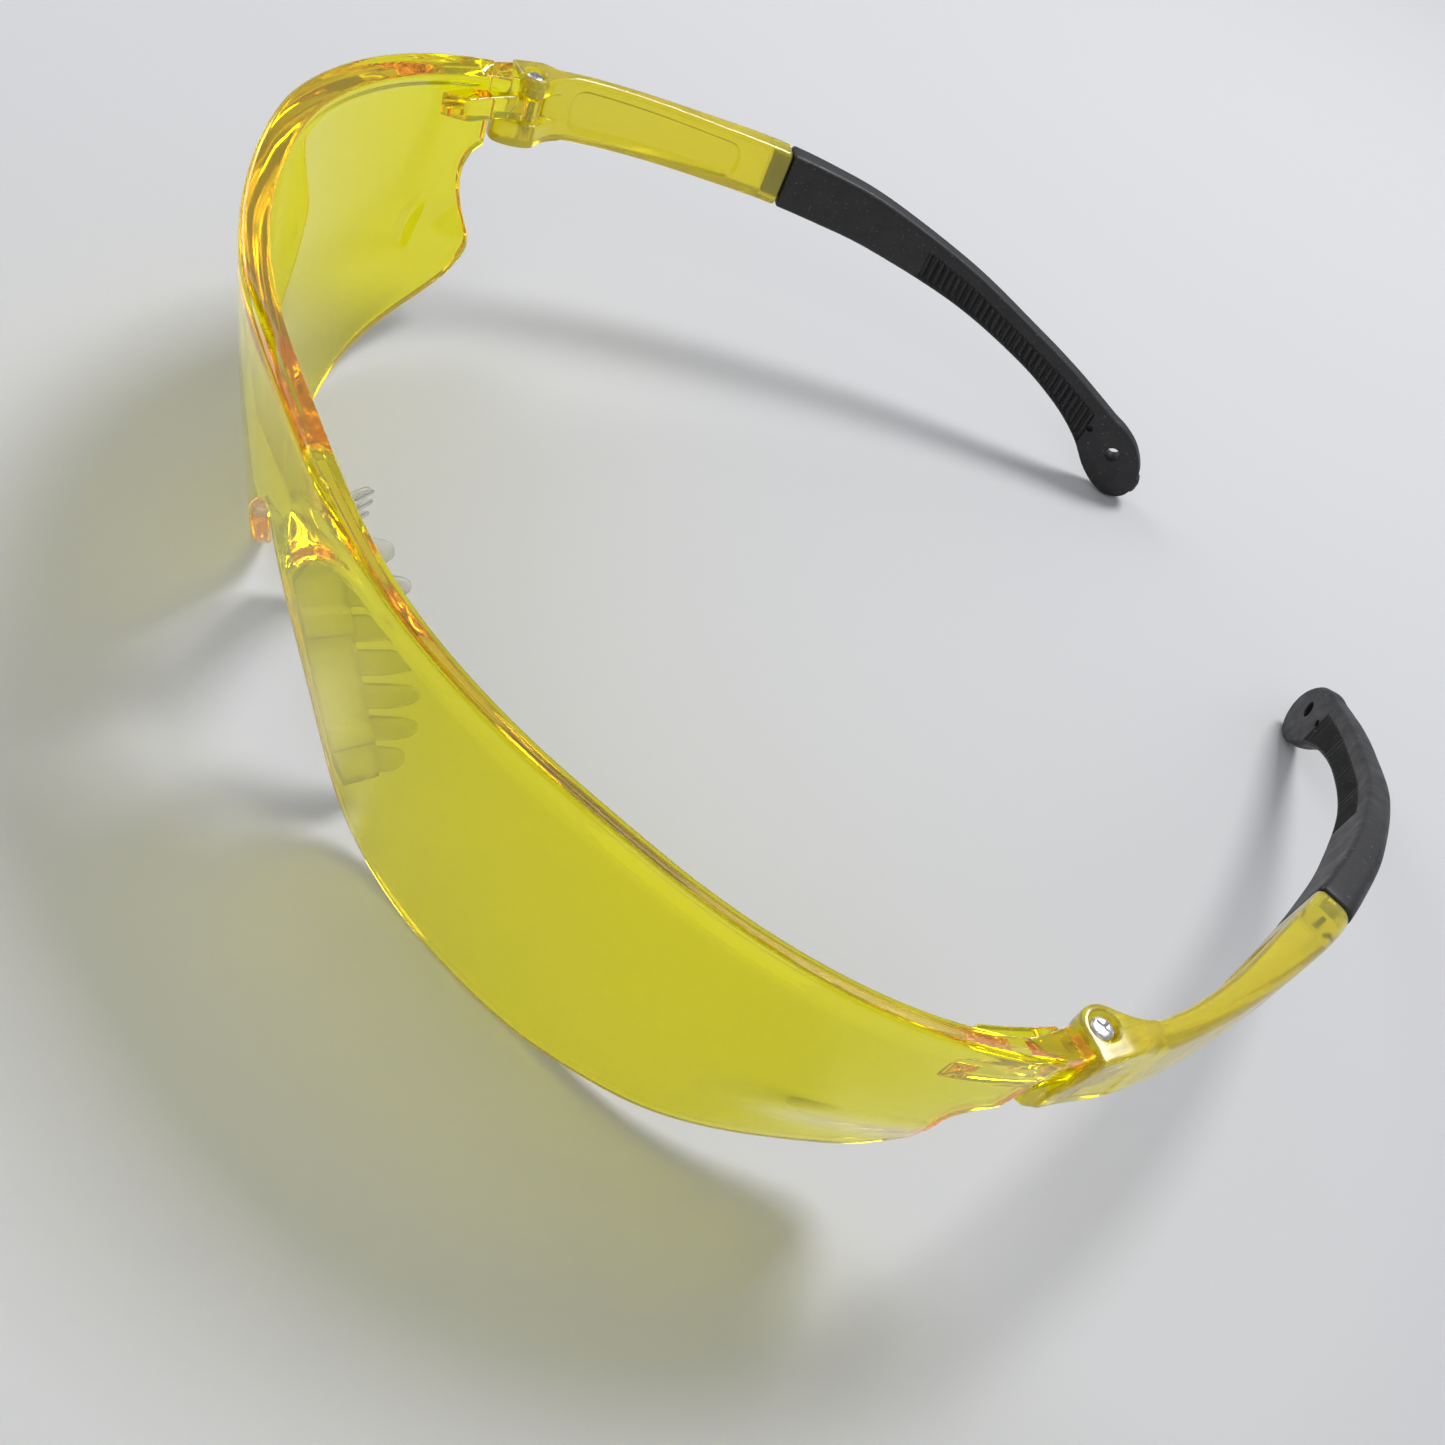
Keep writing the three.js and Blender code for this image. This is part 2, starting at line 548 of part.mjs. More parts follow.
function tipGeometry() {
  const collarEnd = JUNCTION + COLLAR_LENGTH + GAP / 9;
  const outside = templeSolid(collarEnd, TEMPLE.length - 1, 46);
  const sleeve = templeSolid(JUNCTION + 0.03, collarEnd + 0.1, 4, { inset: COLLAR_WALL + GAP });
  const socket = templeSolid(JUNCTION - 0.1, TONGUE_END + 0.05, 10,
    { inset: COLLAR_WALL + GAP + SLEEVE_WALL, corner: 0.5 });
  const grip = templeSolid(GRIP.from, GRIP.to, 22,
    { inner: -2, depth: GRIP.depth, top: GRIP.top, bottom: GRIP.bottom, corner: 0.3 });
  const paddle = templeFrame(PADDLE_START + 1.2);
  const drill = (place, radius, from, to) => {
    const tool = new THREE.CylinderGeometry(radius, radius, to - from, 20);
    tool.translate(0, (to + from) / 2, 0).rotateZ(Math.atan2(-paddle.outX, paddle.outY));
    return toSolid(tool.translate(place.x, place.y, place.z));
  };
  return toGeometry(outside.add(sleeve).subtract(socket).subtract(grip)
    .subtract(drill(CORD_HOLE, CORD_HOLE.radius, -6, 8))
    .subtract(drill(DIMPLE, DIMPLE.radius, -2, DIMPLE.depth)));
}

function screwGeometry() {
  const underHead = SCREW_TOP - SCREW_HEAD_HEIGHT;
  const profile = [
    [0, SCREW_END], [SCREW_RADIUS * 0.5, SCREW_END], [SCREW_RADIUS, SCREW_END + 0.8],
    [SCREW_RADIUS, underHead], [SCREW_HEAD_RADIUS, underHead],
    [SCREW_HEAD_RADIUS, SCREW_TOP - 0.25], [SCREW_HEAD_RADIUS - 0.3, SCREW_TOP], [0, SCREW_TOP],
  ].map(([radius, z]) => new THREE.Vector2(radius, z));
  const lathe = new THREE.LatheGeometry(profile, 20).rotateX(Math.PI / 2);
  let screw = toSolid(lathe.translate(HINGE_X, HINGE_Y, 0));
  for (const [sizeX, sizeY] of [[CROSS_LENGTH, CROSS_WIDTH], [CROSS_WIDTH, CROSS_LENGTH]]) {
    screw = screw.subtract(box(HINGE_X - sizeX / 2, HINGE_Y - sizeY / 2, SCREW_TOP - CROSS_DEPTH,
      HINGE_X + sizeX / 2, HINGE_Y + sizeY / 2, SCREW_TOP + 1));
  }
  return toGeometry(screw);
}

// ---- Assembly ----

function addMesh(parent, name, geometry, material) {
  const mesh = new THREE.Mesh(geometry, material);
  mesh.name = name;
  parent.add(mesh);
}

function addTemple(parent, side, sign) {
  const temple = new THREE.Group();
  temple.position.set(sign * HINGE_X, HINGE_Y, 0);
  const pieces = [
    [`temple_arm_${side}`, armGeometry(), ARM_YELLOW],
    [`temple_tip_${side}`, tipGeometry(), BLACK_RUBBER],
    [`hinge_screw_${side}`, screwGeometry(), STEEL],
  ];
  for (const [name, geometry, material] of pieces) {
    const placed = sign > 0 ? geometry : mirrored(geometry);
    addMesh(temple, name, placed.translate(-sign * HINGE_X, -HINGE_Y, 0), material);
  }
  parent.add(temple);
}

const spectacles = new THREE.Group();
addMesh(spectacles, 'lens', lensGeometry(), AMBER);
const leftPad = padGeometry();
addMesh(spectacles, 'nose_pad_left', leftPad, CLEAR_SOFT);
addMesh(spectacles, 'nose_pad_right', mirrored(leftPad), CLEAR_SOFT);
addTemple(spectacles, 'left', 1);
addTemple(spectacles, 'right', -1);

const extent = new THREE.Box3().setFromObject(spectacles);
spectacles.position.set(0, -(extent.min.y + extent.max.y) / 2, -extent.min.z);

export default spectacles;
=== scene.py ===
"""Looks for the wraparound safety spectacles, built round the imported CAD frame.

Shapes are worked out in millimetres, with X to the wearer's left, Y back from the front of the bridge
and Z up from the surface the spectacles stand on. Each mesh is turned into the frame's metres as it is
made. Of each pair only the left-hand piece is built, and the right-hand one is its mirrored copy.
"""
import math

import bmesh
import bpy
import numpy as np
from mathutils import Matrix, Vector


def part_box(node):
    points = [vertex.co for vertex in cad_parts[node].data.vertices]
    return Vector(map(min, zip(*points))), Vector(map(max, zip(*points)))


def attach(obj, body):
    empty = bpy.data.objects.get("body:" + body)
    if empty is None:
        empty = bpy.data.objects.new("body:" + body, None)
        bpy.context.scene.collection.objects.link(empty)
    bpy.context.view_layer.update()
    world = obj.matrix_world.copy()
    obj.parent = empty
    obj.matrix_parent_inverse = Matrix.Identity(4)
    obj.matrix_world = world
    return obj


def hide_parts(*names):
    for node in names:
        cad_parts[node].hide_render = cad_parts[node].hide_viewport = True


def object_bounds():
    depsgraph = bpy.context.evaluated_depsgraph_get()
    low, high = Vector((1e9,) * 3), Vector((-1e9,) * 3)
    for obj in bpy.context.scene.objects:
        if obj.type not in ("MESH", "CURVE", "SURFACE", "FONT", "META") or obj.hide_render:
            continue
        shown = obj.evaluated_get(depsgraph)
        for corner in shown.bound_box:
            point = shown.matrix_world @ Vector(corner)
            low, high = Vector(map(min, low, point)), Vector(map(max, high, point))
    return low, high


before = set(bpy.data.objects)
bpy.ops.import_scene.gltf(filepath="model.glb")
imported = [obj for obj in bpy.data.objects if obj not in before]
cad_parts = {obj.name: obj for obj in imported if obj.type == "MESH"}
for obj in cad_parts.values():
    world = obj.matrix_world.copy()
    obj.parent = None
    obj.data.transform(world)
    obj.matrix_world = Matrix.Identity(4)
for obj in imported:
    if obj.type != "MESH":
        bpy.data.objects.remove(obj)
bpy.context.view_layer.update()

# ---- Places taken from the frame ----

MM = 1000
FRONT_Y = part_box("lens")[0].y
SCREW_LOW, SCREW_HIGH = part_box("hinge_screw_left")
HINGE_X = MM * (SCREW_LOW.x + SCREW_HIGH.x) / 2
HINGE_Y = MM * (SCREW_LOW.y + SCREW_HIGH.y) / 2 - MM * FRONT_Y
SCREW_TOP = MM * SCREW_HIGH.z
SCREW_END = MM * SCREW_LOW.z

# ---- Driving sizes, in millimetres and degrees ----

GAP = 0.3

# The lens's curve, brow and lean. A pair in brackets is where a change begins and where it is complete.
WRAP_HALF_WIDTH = 76.2
WRAP_DEPTH = 56.7
BROW_HEIGHT = 41.7
BRIDGE_RISE = 2.8
BRIDGE_RISE_SPREAD = 11.5
BROW_FALL_START = 36
BROW_FALL_BEND = 8
BROW_FALL_RATE = 0.155
TUCK_TOP = 44.5
TUCK_DEPTH = 6.2
TUCK_POWER = 1.4
SIDE_TUCK = 1.4
SIDE_TUCK_ANGLES = (50, 70)
SIDE_TUCK_HEIGHTS = (10, 20)

# The lens's thickness, rim and bridge. Its inner face rises to the bridge by a first small step and then by a
# gentle swell, whose reach goes from the first value of GENTLE_REACH to the second away from the nose.
LENS_THICKNESS = 2.1
LENS_EDGE = 0.5
BROW_CROWN = 0.55
RIM_DEPTH = 2.9
RIM_HEIGHT = 2.4
RIM_SLOPE = 1.2
RIM_FOOT_RISE = 0.9
RIM_FOOT_BAND = 0.8
BRIDGE_THICKNESS = 3.8
BRIDGE_SLOPE = 2.4
BRIDGE_FADE = (8, 30)
BRIDGE_BORDER_LOW = 26.5
BRIDGE_BORDER_FROM = 6
BRIDGE_BORDER_TO = 21
CRISP_BORDER = 1.5
GENTLE_BORDER = 0.9
GENTLE_STEP = 0.3
GENTLE_REACH = (9, 1.2)
GENTLE_FADE = (4, 20)

# The lens's lower and rear edges, as (angle round the wrap, height)
LOWER_EDGE = [
    (0, 27.9), (1.3, 27.2), (4.5, 22.8), (7.3, 19), (9.7, 15), (11.7, 10.5), (13.9, 6), (16.5, 3),
    (20.3, 1.1), (26, 0.1), (34, 0), (40, 0.3), (44.5, 1.1), (53, 2.6), (61.3, 4.5), (69.7, 6.6),
    (73.7, 8), (76.2, 9.7),
]
REAR_EDGE = [(76.2, 9.7), (78, 12.3), (76.8, 16.6), (76.3, 20), (76.6, 22.4), (78, 24.3), (79.6, 25.1)]
REAR_TOP_ANGLE = 80.2
REAR_PULL_FROM = 0.72
END_SHARE = 0.0035
END_ROUND = 0.6
LENS_COLUMNS = 231
LENS_ROWS = 52
RIM_ROWS = 6

# The hinge: the lens's block, web and lug, and the arm's two ears. Depths are counted from the lens's outer
# surface, at the front and at the rear.
EAR_RADIUS = 2.2
LOBE_REACH = 4.8
LOBE_HALF_WIDTH = 2.25
EAR_TOP = 35.4
EAR_BOTTOM = 25.6
LUG_TOP = 32.4
LUG_BOTTOM = 29.4
LUG_RADIUS = 1.75
SEAM_LEAN = 1.4
LENS_END_Y = HINGE_Y - EAR_RADIUS - GAP
PAST_SEAM = 2.5
BLOCK_FRONT_ANGLE = 75.6
BLOCK_DROP = 0.15
BLOCK_EDGE = 0.5
BLOCK_DEPTHS = (LENS_THICKNESS + 0.1, LENS_THICKNESS + 2.7)
WEB_FRONT_ANGLE = 69.6
WEB_RAISE = 0.5
WEB_START = 1.2
WEB_EDGE = 0.3
WEB_DEPTHS = (1.5, 4.6)
WEB_RAMP = 0.3
CLEARANCE_REACH = 14
CLEARANCE_HEIGHTS = (20, 44)
BORE_RADIUS = 1.0
LENS_BORE_OVERRUN = 0.29

# The screw, and the recess over its head. CROSS_TURN is in radians.
SCREW_RADIUS = 0.75
SCREW_TIP_RADIUS = 0.35
SCREW_HEAD_RADIUS = 1.15
SCREW_HEAD_HEIGHT = 1.0
SCREW_DOME = 0.28
THREAD_PITCH = 0.42
THREAD_ROOT = 0.56
THREAD_CREST = 0.73
THREAD_CLEAR_BELOW_HEAD = 1.2
CROSS_REACH = 0.78
CROSS_HALF = 0.17
CROSS_DEPTH = 0.55
CROSS_TURN = 0.4
AXIS_RADIUS = 0.02
RECESS_MOUTH = 0.25

# Stations down a temple: x and y of its inner face, top, bottom and thickness. JUNCTION, COLLAR_LENGTH,
# TONGUE_END and the values called a station count along this list. STATION_LENGTH is how far apart two
# stations are at the junction.
TEMPLE = [
    (72.4, 55.5, 35.3, 25.6, 2.9), (72.6, 59.5, 35.0, 25.6, 2.6), (72.0, 64.8, 34.6, 25.4, 2.6),
    (70.2, 72.2, 34.0, 25.1, 3.1), (67.5, 80.2, 33.3, 24.7, 3.9), (64.6, 88.3, 32.6, 24.2, 4.4),
    (61.2, 96.8, 31.5, 23.2, 4.2), (57.0, 105.9, 29.6, 21.8, 3.9), (49.4, 119.4, 24.9, 18.4, 3.7),
    (41.6, 129.8, 20.1, 14.2, 3.5), (36.0, 136.2, 16.9, 10.4, 3.4), (32.0, 140.3, 14.5, 6.7, 3.4),
    (29.2, 143.0, 12.9, 2.9, 3.3), (27.2, 145.0, 11.9, 0.9, 3.2), (25.4, 146.8, 10.4, 0.05, 3.2),
    (24.1, 148.1, 8.6, 0.35, 3.2), (23.2, 149.0, 6.7, 1.3, 3.2), (22.8, 149.4, 5.1, 2.6, 3.2),
]
STATION_LENGTH = 9
STUB_STATIONS = (0.3, 1.4)
ARM_FROM_STATION = 0.7
JUNCTION = 5
COLLAR_LENGTH = 0.3
TONGUE_END = 6.6
COLLAR_WALL = 0.6
SLEEVE_WALL = 0.75
PADDLE_STATION = 13.0

# The arm's skin beside the hinge, and how its head flows into the arm
HEAD_REAR_Y = HINGE_Y + 6.2
HEAD_FLOW_FROM_Y = HINGE_Y + 1.2
HEAD_DROP = 0.45
HEAD_CORNER = 1.75
HEAD_SMOOTHING = 18
SKIN_X = 74.9
SKIN_HEIGHT = 31
SKIN_LEAN = 0.11
SKIN_REAR_X = 75.25
UPPER_EAR_X = 74.8
LOWER_EAR_X = 74.25
LOBE_FRONT = [(0.1, 1.6), (0.5, 0.6), (1.3, 0.1)]
EAR_BLEND = [(-1.2, 2.1), (-0.6, 3.0), (-0.1, 4.0), (0.3, 5.1), (0.5, 6.2)]
EAR_SKIN = [(0.05, 6.2), (0.04, 4.2), (0.02, 2.1)]
ROOT_Y = (HINGE_Y + 2.4, HINGE_Y + 5.4)
ROOT_X = (75.0, 75.2)
ROOT_INSIDE_X = HINGE_X + 0.35
CHEEK_CORNER = 1.5
CHEEK_CORNER_SHARE = 1 / 7
ARM_VOXEL = 0.13
ARM_OUTER_RADIUS = 1.7
ARM_START_INSET = 0.15
ARM_END_INSET = 0.4
ARM_END_ROUND = 0.5
ARM_RINGS = 150
FACE_POINTS = 30

# The long shallow panel on the arm's inner face
PANEL_STATIONS = (0.9, 4.5)
PANEL_TOP_MARGIN = 1.3
PANEL_BOTTOM_MARGIN = 1.6
PANEL_CORNER = 2.2
PANEL_DEPTH = 0.6
PANEL_SLOPE = 0.7

# The rubber tip
RIB_STATIONS = (7.55, 11.3)
RIB_COUNT = 31
RIB_RINGS = 9
RIB_DEPTH = 0.5
TIP_RADII = (0.7, 1.5)
TIP_FACE_POINTS = 22
TIP_FRONT_ROUND = 0.35
TIP_TAIL = 0.7
CORD_HOLE = (26.9, 145.3, 7.2)
CORD_HOLE_RADIUS = 1.2
DIMPLE = (30.7, 141.5, 9.4)
DIMPLE_RADIUS = 0.55
DIMPLE_DEPTH = 0.7

# The nose pads
PAD_TOP = 27.3
PAD_BOTTOM = 5.2
PAD_TOP_ANGLE = 3.1
PAD_BOTTOM_ANGLE = 13.65
PAD_WIDTH = 4.8
PAD_THICKNESS = 1.1
PAD_CLEARANCE = 0.45
PAD_LENS_ABOVE = 1.5
PAD_LEAN = -1
PAD_SKEW = -1.7
PAD_NARROWING = 0.16
PAD_CORNER = 0.1
PAD_VOXEL = 0.13
PETAL_LENGTHS = [3, 4.9, 5.8, 6.2, 6.3, 6, 4.6]
PETAL_WIDTH = 2.9
PETAL_THICKNESS = 0.9
PETAL_TAPER = 0.35
PETAL_ROOT = 0.88
PETAL_AIM = (0.45, 0.86)
PETAL_RISE = (0.2, 0.5)
PETAL_CURL = 0.9
PETAL_STRAIGHT = 0.75
PETAL_SQUARENESS = 0.7
MOUNT_LUGS = [0.23, 0.7]
LUG_HALF_SHARE = 0.05
LUG_SPAN = (0.03, 0.97)
LUG_SUNK = -0.3
LUG_RISE = 0.8


def smooth(value, low, high):
    """0 at low, 1 at high and beyond, and an S curve between them; high may be the smaller."""
    share = np.clip((np.asarray(value, float) - low) / (high - low), 0, 1)
    return share * share * (3 - 2 * share)


def mix(a, b, share):
    return a + (b - a) * share


def unit(vector):
    return vector / np.linalg.norm(vector)


def quarter(steps):
    """Sines and cosines round a quarter turn, ends included."""
    turn = np.linspace(0, np.pi / 2, steps)
    return np.sin(turn), np.cos(turn)


def arc(centre, radius, start, end, count):
    """Points round a centre from one angle to another, in degrees."""
    turn = np.radians(np.linspace(start, end, count))
    return list(zip(centre[0] + radius * np.cos(turn), centre[1] + radius * np.sin(turn)))


def shares(columns, rows):
    """Shares from 0 to 1 across the columns and along the rows of a sheet."""
    return np.linspace(0, 1, columns)[:, None], np.linspace(0, 1, rows)[None, :]


def spline(points, t, mirrored_start=False):
    """Catmull-Rom curve through points at t from 0 to 1, evenly spread over its spans."""
    p = np.array(points, float)
    first = p[1] * np.array([-1, 1]) if mirrored_start else 2 * p[0] - p[1]
    p = np.vstack([first, p, 2 * p[-1] - p[-2]])
    spans = len(points) - 1
    x = np.clip(np.atleast_1d(t), 0, 1) * spans
    i = np.minimum(x.astype(int), spans - 1)
    f = (x - i)[:, None]
    a, b, c, d = p[i], p[i + 1], p[i + 2], p[i + 3]
    return 0.5 * (2 * b + (c - a) * f + (2 * a - 5 * b + 4 * c - d) * f**2 + (3 * b - a - 3 * c + d) * f**3)


def evenly_spaced(points, share, mirrored_start=False):
    """A point of the curve at a share of its length."""
    fine = spline(points, np.linspace(0, 1, 600), mirrored_start)
    length = np.concatenate([[0], np.cumsum(np.linalg.norm(np.diff(fine, axis=0), axis=1))])
    return np.stack([np.interp(share * length[-1], length, fine[:, k]) for k in range(2)], -1)


# ---- Meshes ----

def link(obj):
    bpy.context.scene.collection.objects.link(obj)
    return obj


def new_object(name, points, faces):
    """A mesh object from points in millimetres."""
    mesh = bpy.data.meshes.new(name)
    mesh.from_pydata((np.array(points, float) / MM + [0, FRONT_Y, 0]).tolist(), [], faces)
    mesh.update()
    return link(bpy.data.objects.new(name, mesh))


def outward(obj):
    """Turns every face to point out of the solid."""
    bm = bmesh.new()
    bm.from_mesh(obj.data)
    bmesh.ops.recalc_face_normals(bm, faces=bm.faces)
    bm.to_mesh(obj.data)
    bm.free()
    return obj


def sheet_faces(columns, rows, offset=0):
    """Quads over a grid of points stored column by column."""
    at = lambda i, j: offset + i * rows + j
    return [(at(i, j), at(i + 1, j), at(i + 1, j + 1), at(i, j + 1))
            for i in range(columns - 1) for j in range(rows - 1)]


def slab(name, outer, inner):
    """A closed solid between two grids of points of the same shape (columns, rows, 3)."""
    columns, rows = outer.shape[:2]
    count = columns * rows
    points = np.concatenate([outer.reshape(-1, 3), inner.reshape(-1, 3)])
    faces = sheet_faces(columns, rows)
    faces += [tuple(reversed(f)) for f in sheet_faces(columns, rows, count)]
    border = [i * rows for i in range(columns)]
    border += [(columns - 1) * rows + j for j in range(1, rows)]
    border += [i * rows + rows - 1 for i in range(columns - 2, -1, -1)]
    border += [j for j in range(rows - 2, 0, -1)]
    for a, b in zip(border, border[1:] + border[:1]):
        faces.append((b, a, a + count, b + count))
    return outward(new_object(name, points, faces))


def loft(name, rings):
    """A closed solid through rings of equal length, with its ends capped."""
    rings = np.array(rings, float)
    count, size = rings.shape[:2]
    faces = []
    for i in range(count - 1):
        a, b = i * size, (i + 1) * size
        for j in range(size):
            k = (j + 1) % size
            faces.append((a + j, a + k, b + k, b + j))
    faces.append(tuple(reversed(range(size))))
    faces.append(tuple(range((count - 1) * size, count * size)))
    return outward(new_object(name, rings.reshape(-1, 3), faces))


def extrude(name, outline, bottom, top, edge):
    """A plan outline raised from bottom to top, with its upper and lower edges rounded."""
    outline = np.array(outline, float)
    ahead = np.roll(outline, -1, 0) - outline
    behind = outline - np.roll(outline, 1, 0)
    normals = []
    for before, after in zip(behind, ahead):
        n1 = unit(np.array([before[1], -before[0]]))
        n2 = unit(np.array([after[1], -after[0]]))
        n = n1 + n2
        normals.append(n / max(n @ n1, 0.3))
    turns = np.radians([0, 30, 60, 90])
    levels = [(turn, bottom + edge * (1 - math.cos(turn))) for turn in turns]
    levels += [(turn, top - edge * (1 - math.cos(turn))) for turn in reversed(turns)]
    rings = []
    for turn, height in levels:
        plan = outline - np.array(normals) * edge * (1 - math.sin(turn))
        rings.append(np.column_stack([plan, np.full(len(plan), height)]))
    return loft(name, rings)


def lathe(name, profile, centre, axis=Vector((0, 0, 1)), steps=48):
    """A solid of revolution; profile holds (radius, height) from bottom to top, off the axis."""
    turn = Vector((0, 0, 1)).rotation_difference(axis).to_matrix()
    rings = []
    for radius, height in profile:
        ring = []
        for k in range(steps):
            angle = 2 * math.pi * k / steps
            point = turn @ Vector((radius * math.cos(angle), radius * math.sin(angle), height))
            ring.append(tuple(point + Vector(centre)))
        rings.append(ring)
    return loft(name, rings)


def apply_modifiers(obj):
    bpy.context.view_layer.update()
    evaluated = obj.evaluated_get(bpy.context.evaluated_depsgraph_get())
    mesh = bpy.data.meshes.new_from_object(evaluated)
    obj.modifiers.clear()
    old = obj.data
    obj.data = mesh
    bpy.data.meshes.remove(old)


def combine(target, tool, operation):
    """Boolean of two objects, applied, and the tool removed."""
    modifier = target.modifiers.new("combine", "BOOLEAN")
    modifier.operation = operation
    modifier.solver = "MANIFOLD"
    modifier.object = tool
    apply_modifiers(target)
    bpy.data.objects.remove(tool)
    return target


def mirrored_copy(obj, name):
    """A copy on the other side of X = 0, with its faces still pointing out."""
    copy = obj.copy()
    copy.data = obj.data.copy()
    copy.name = name
    copy.data.transform(Matrix.Scale(-1, 4, (1, 0, 0)))
    copy.data.flip_normals()
    return link(copy)


def soften(obj, voxel, passes):
    """Merges overlapping lumps into one moulded skin with rounded joins."""
    remesh = obj.modifiers.new("skin", "REMESH")
    remesh.mode = "VOXEL"
    remesh.voxel_size = voxel / MM
    relax = obj.modifiers.new("relax", "SMOOTH")
    relax.factor = 0.5
    relax.iterations = passes
    apply_modifiers(obj)
    return obj


def drop_specks(obj, smallest=40, merge=2e-7):
    """Removes folded-flat faces and the loose crumbs that a boolean or a remesh can leave.
    A crumb has fewer points than `smallest`; `merge` is in metres."""
    bm = bmesh.new()
    bm.from_mesh(obj.data)
    bmesh.ops.remove_doubles(bm, verts=bm.verts, dist=merge)
    bmesh.ops.dissolve_degenerate(bm, edges=bm.edges, dist=merge)
    unseen = set(bm.verts)
    crumbs = []
    while unseen:
        island = [unseen.pop()]
        for vertex in island:
            for edge in vertex.link_edges:
                other = edge.other_vert(vertex)
                if other in unseen:
                    unseen.remove(other)
                    island.append(other)
        if len(island) < smallest:
            crumbs += island
    bmesh.ops.delete(bm, geom=crumbs, context="VERTS")
    bm.to_mesh(obj.data)
    bm.free()


def finish_mesh(obj, name, sharp_degrees):
    """Names a finished piece and shades it smooth, with the real corners kept."""
    obj.name = name
    obj.data.shade_smooth()
    obj.data.set_sharp_from_angle(angle=math.radians(sharp_degrees))
    return obj


# ---- The lens front ----

def tuck(degrees, z):
    """How far the lens leans in towards the face; its lower side corners lean in a little more."""
    depth = np.maximum(TUCK_TOP - z, 0) / TUCK_TOP
    side = smooth(np.abs(degrees), *SIDE_TUCK_ANGLES) * (1 - smooth(z, *SIDE_TUCK_HEIGHTS))
    return TUCK_DEPTH * depth**TUCK_POWER + SIDE_TUCK * side


def wrap_point(degrees, z, inward=0.0):
    """Points of the lens, `inward` millimetres behind its outer surface."""
    degrees, z, inward = np.broadcast_arrays(np.asarray(degrees, float), z, inward)
    angle = np.radians(degrees)
    nx, ny = -np.sin(angle) * WRAP_DEPTH, np.cos(angle) * WRAP_HALF_WIDTH
    length = np.hypot(nx, ny)
    reach = tuck(degrees, z) + inward
    x = WRAP_HALF_WIDTH * np.sin(angle) + nx / length * reach
    y = WRAP_DEPTH * (1 - np.cos(angle)) + ny / length * reach
    return np.stack([x, y, z], -1)


def brow_height(degrees):
    """The lens's top, which rises over the bridge and falls towards the hinges."""
    angle = np.abs(degrees)
    past = np.maximum(angle - BROW_FALL_START, 0)
    fall = np.where(past < BROW_FALL_BEND, past * past / (2 * BROW_FALL_BEND), past - BROW_FALL_BEND / 2)
    return BROW_HEIGHT + BRIDGE_RISE * np.exp(-(angle / BRIDGE_RISE_SPREAD) ** 2) - BROW_FALL_RATE * fall


def bridge_share(x):
    """1 at the middle of the bridge, falling to 0 where it has become the plain rim."""
    return 1 - smooth(np.abs(x), *BRIDGE_FADE)


def lens_thickness(degrees, z, foot, crisp=False):
    """The thin lenses thicken into the bridge and rim at a border that arches up from the nose to the foot.
    The pads are placed against the crisp border; the lens itself swells gently above it."""
    x = np.abs(wrap_point(degrees, z)[..., 0])
    thick = mix(RIM_DEPTH, BRIDGE_THICKNESS, bridge_share(x))
    along = np.clip((x - BRIDGE_BORDER_FROM) / (BRIDGE_BORDER_TO - BRIDGE_BORDER_FROM), 0, 1)
    border = mix(BRIDGE_BORDER_LOW, foot, np.sin(along * np.pi / 2))
    if crisp:
        rise = smooth(z - border, -CRISP_BORDER, CRISP_BORDER)
    else:
        reach = mix(*GENTLE_REACH, smooth(x, *GENTLE_FADE))
        step = smooth(z - border, -GENTLE_BORDER, GENTLE_BORDER)
        swell = smooth(z - border, -GENTLE_BORDER, reach)
        rise = GENTLE_STEP * step + (1 - GENTLE_STEP) * swell
    return mix(LENS_THICKNESS, thick, rise)


rear_samples = spline(REAR_EDGE, np.linspace(0, 1, 200))


def rear_angle(z):
    """The angle where the lens ends: up its rear edge, then on up in front of the arm."""
    edge_angle, edge_top = REAR_EDGE[-1]
    along = np.interp(z, rear_samples[:, 1], rear_samples[:, 0])
    above = np.clip((z - edge_top) / (EAR_TOP - edge_top), 0, 1)
    return np.where(z > edge_top, mix(edge_angle, REAR_TOP_ANGLE, above), along)


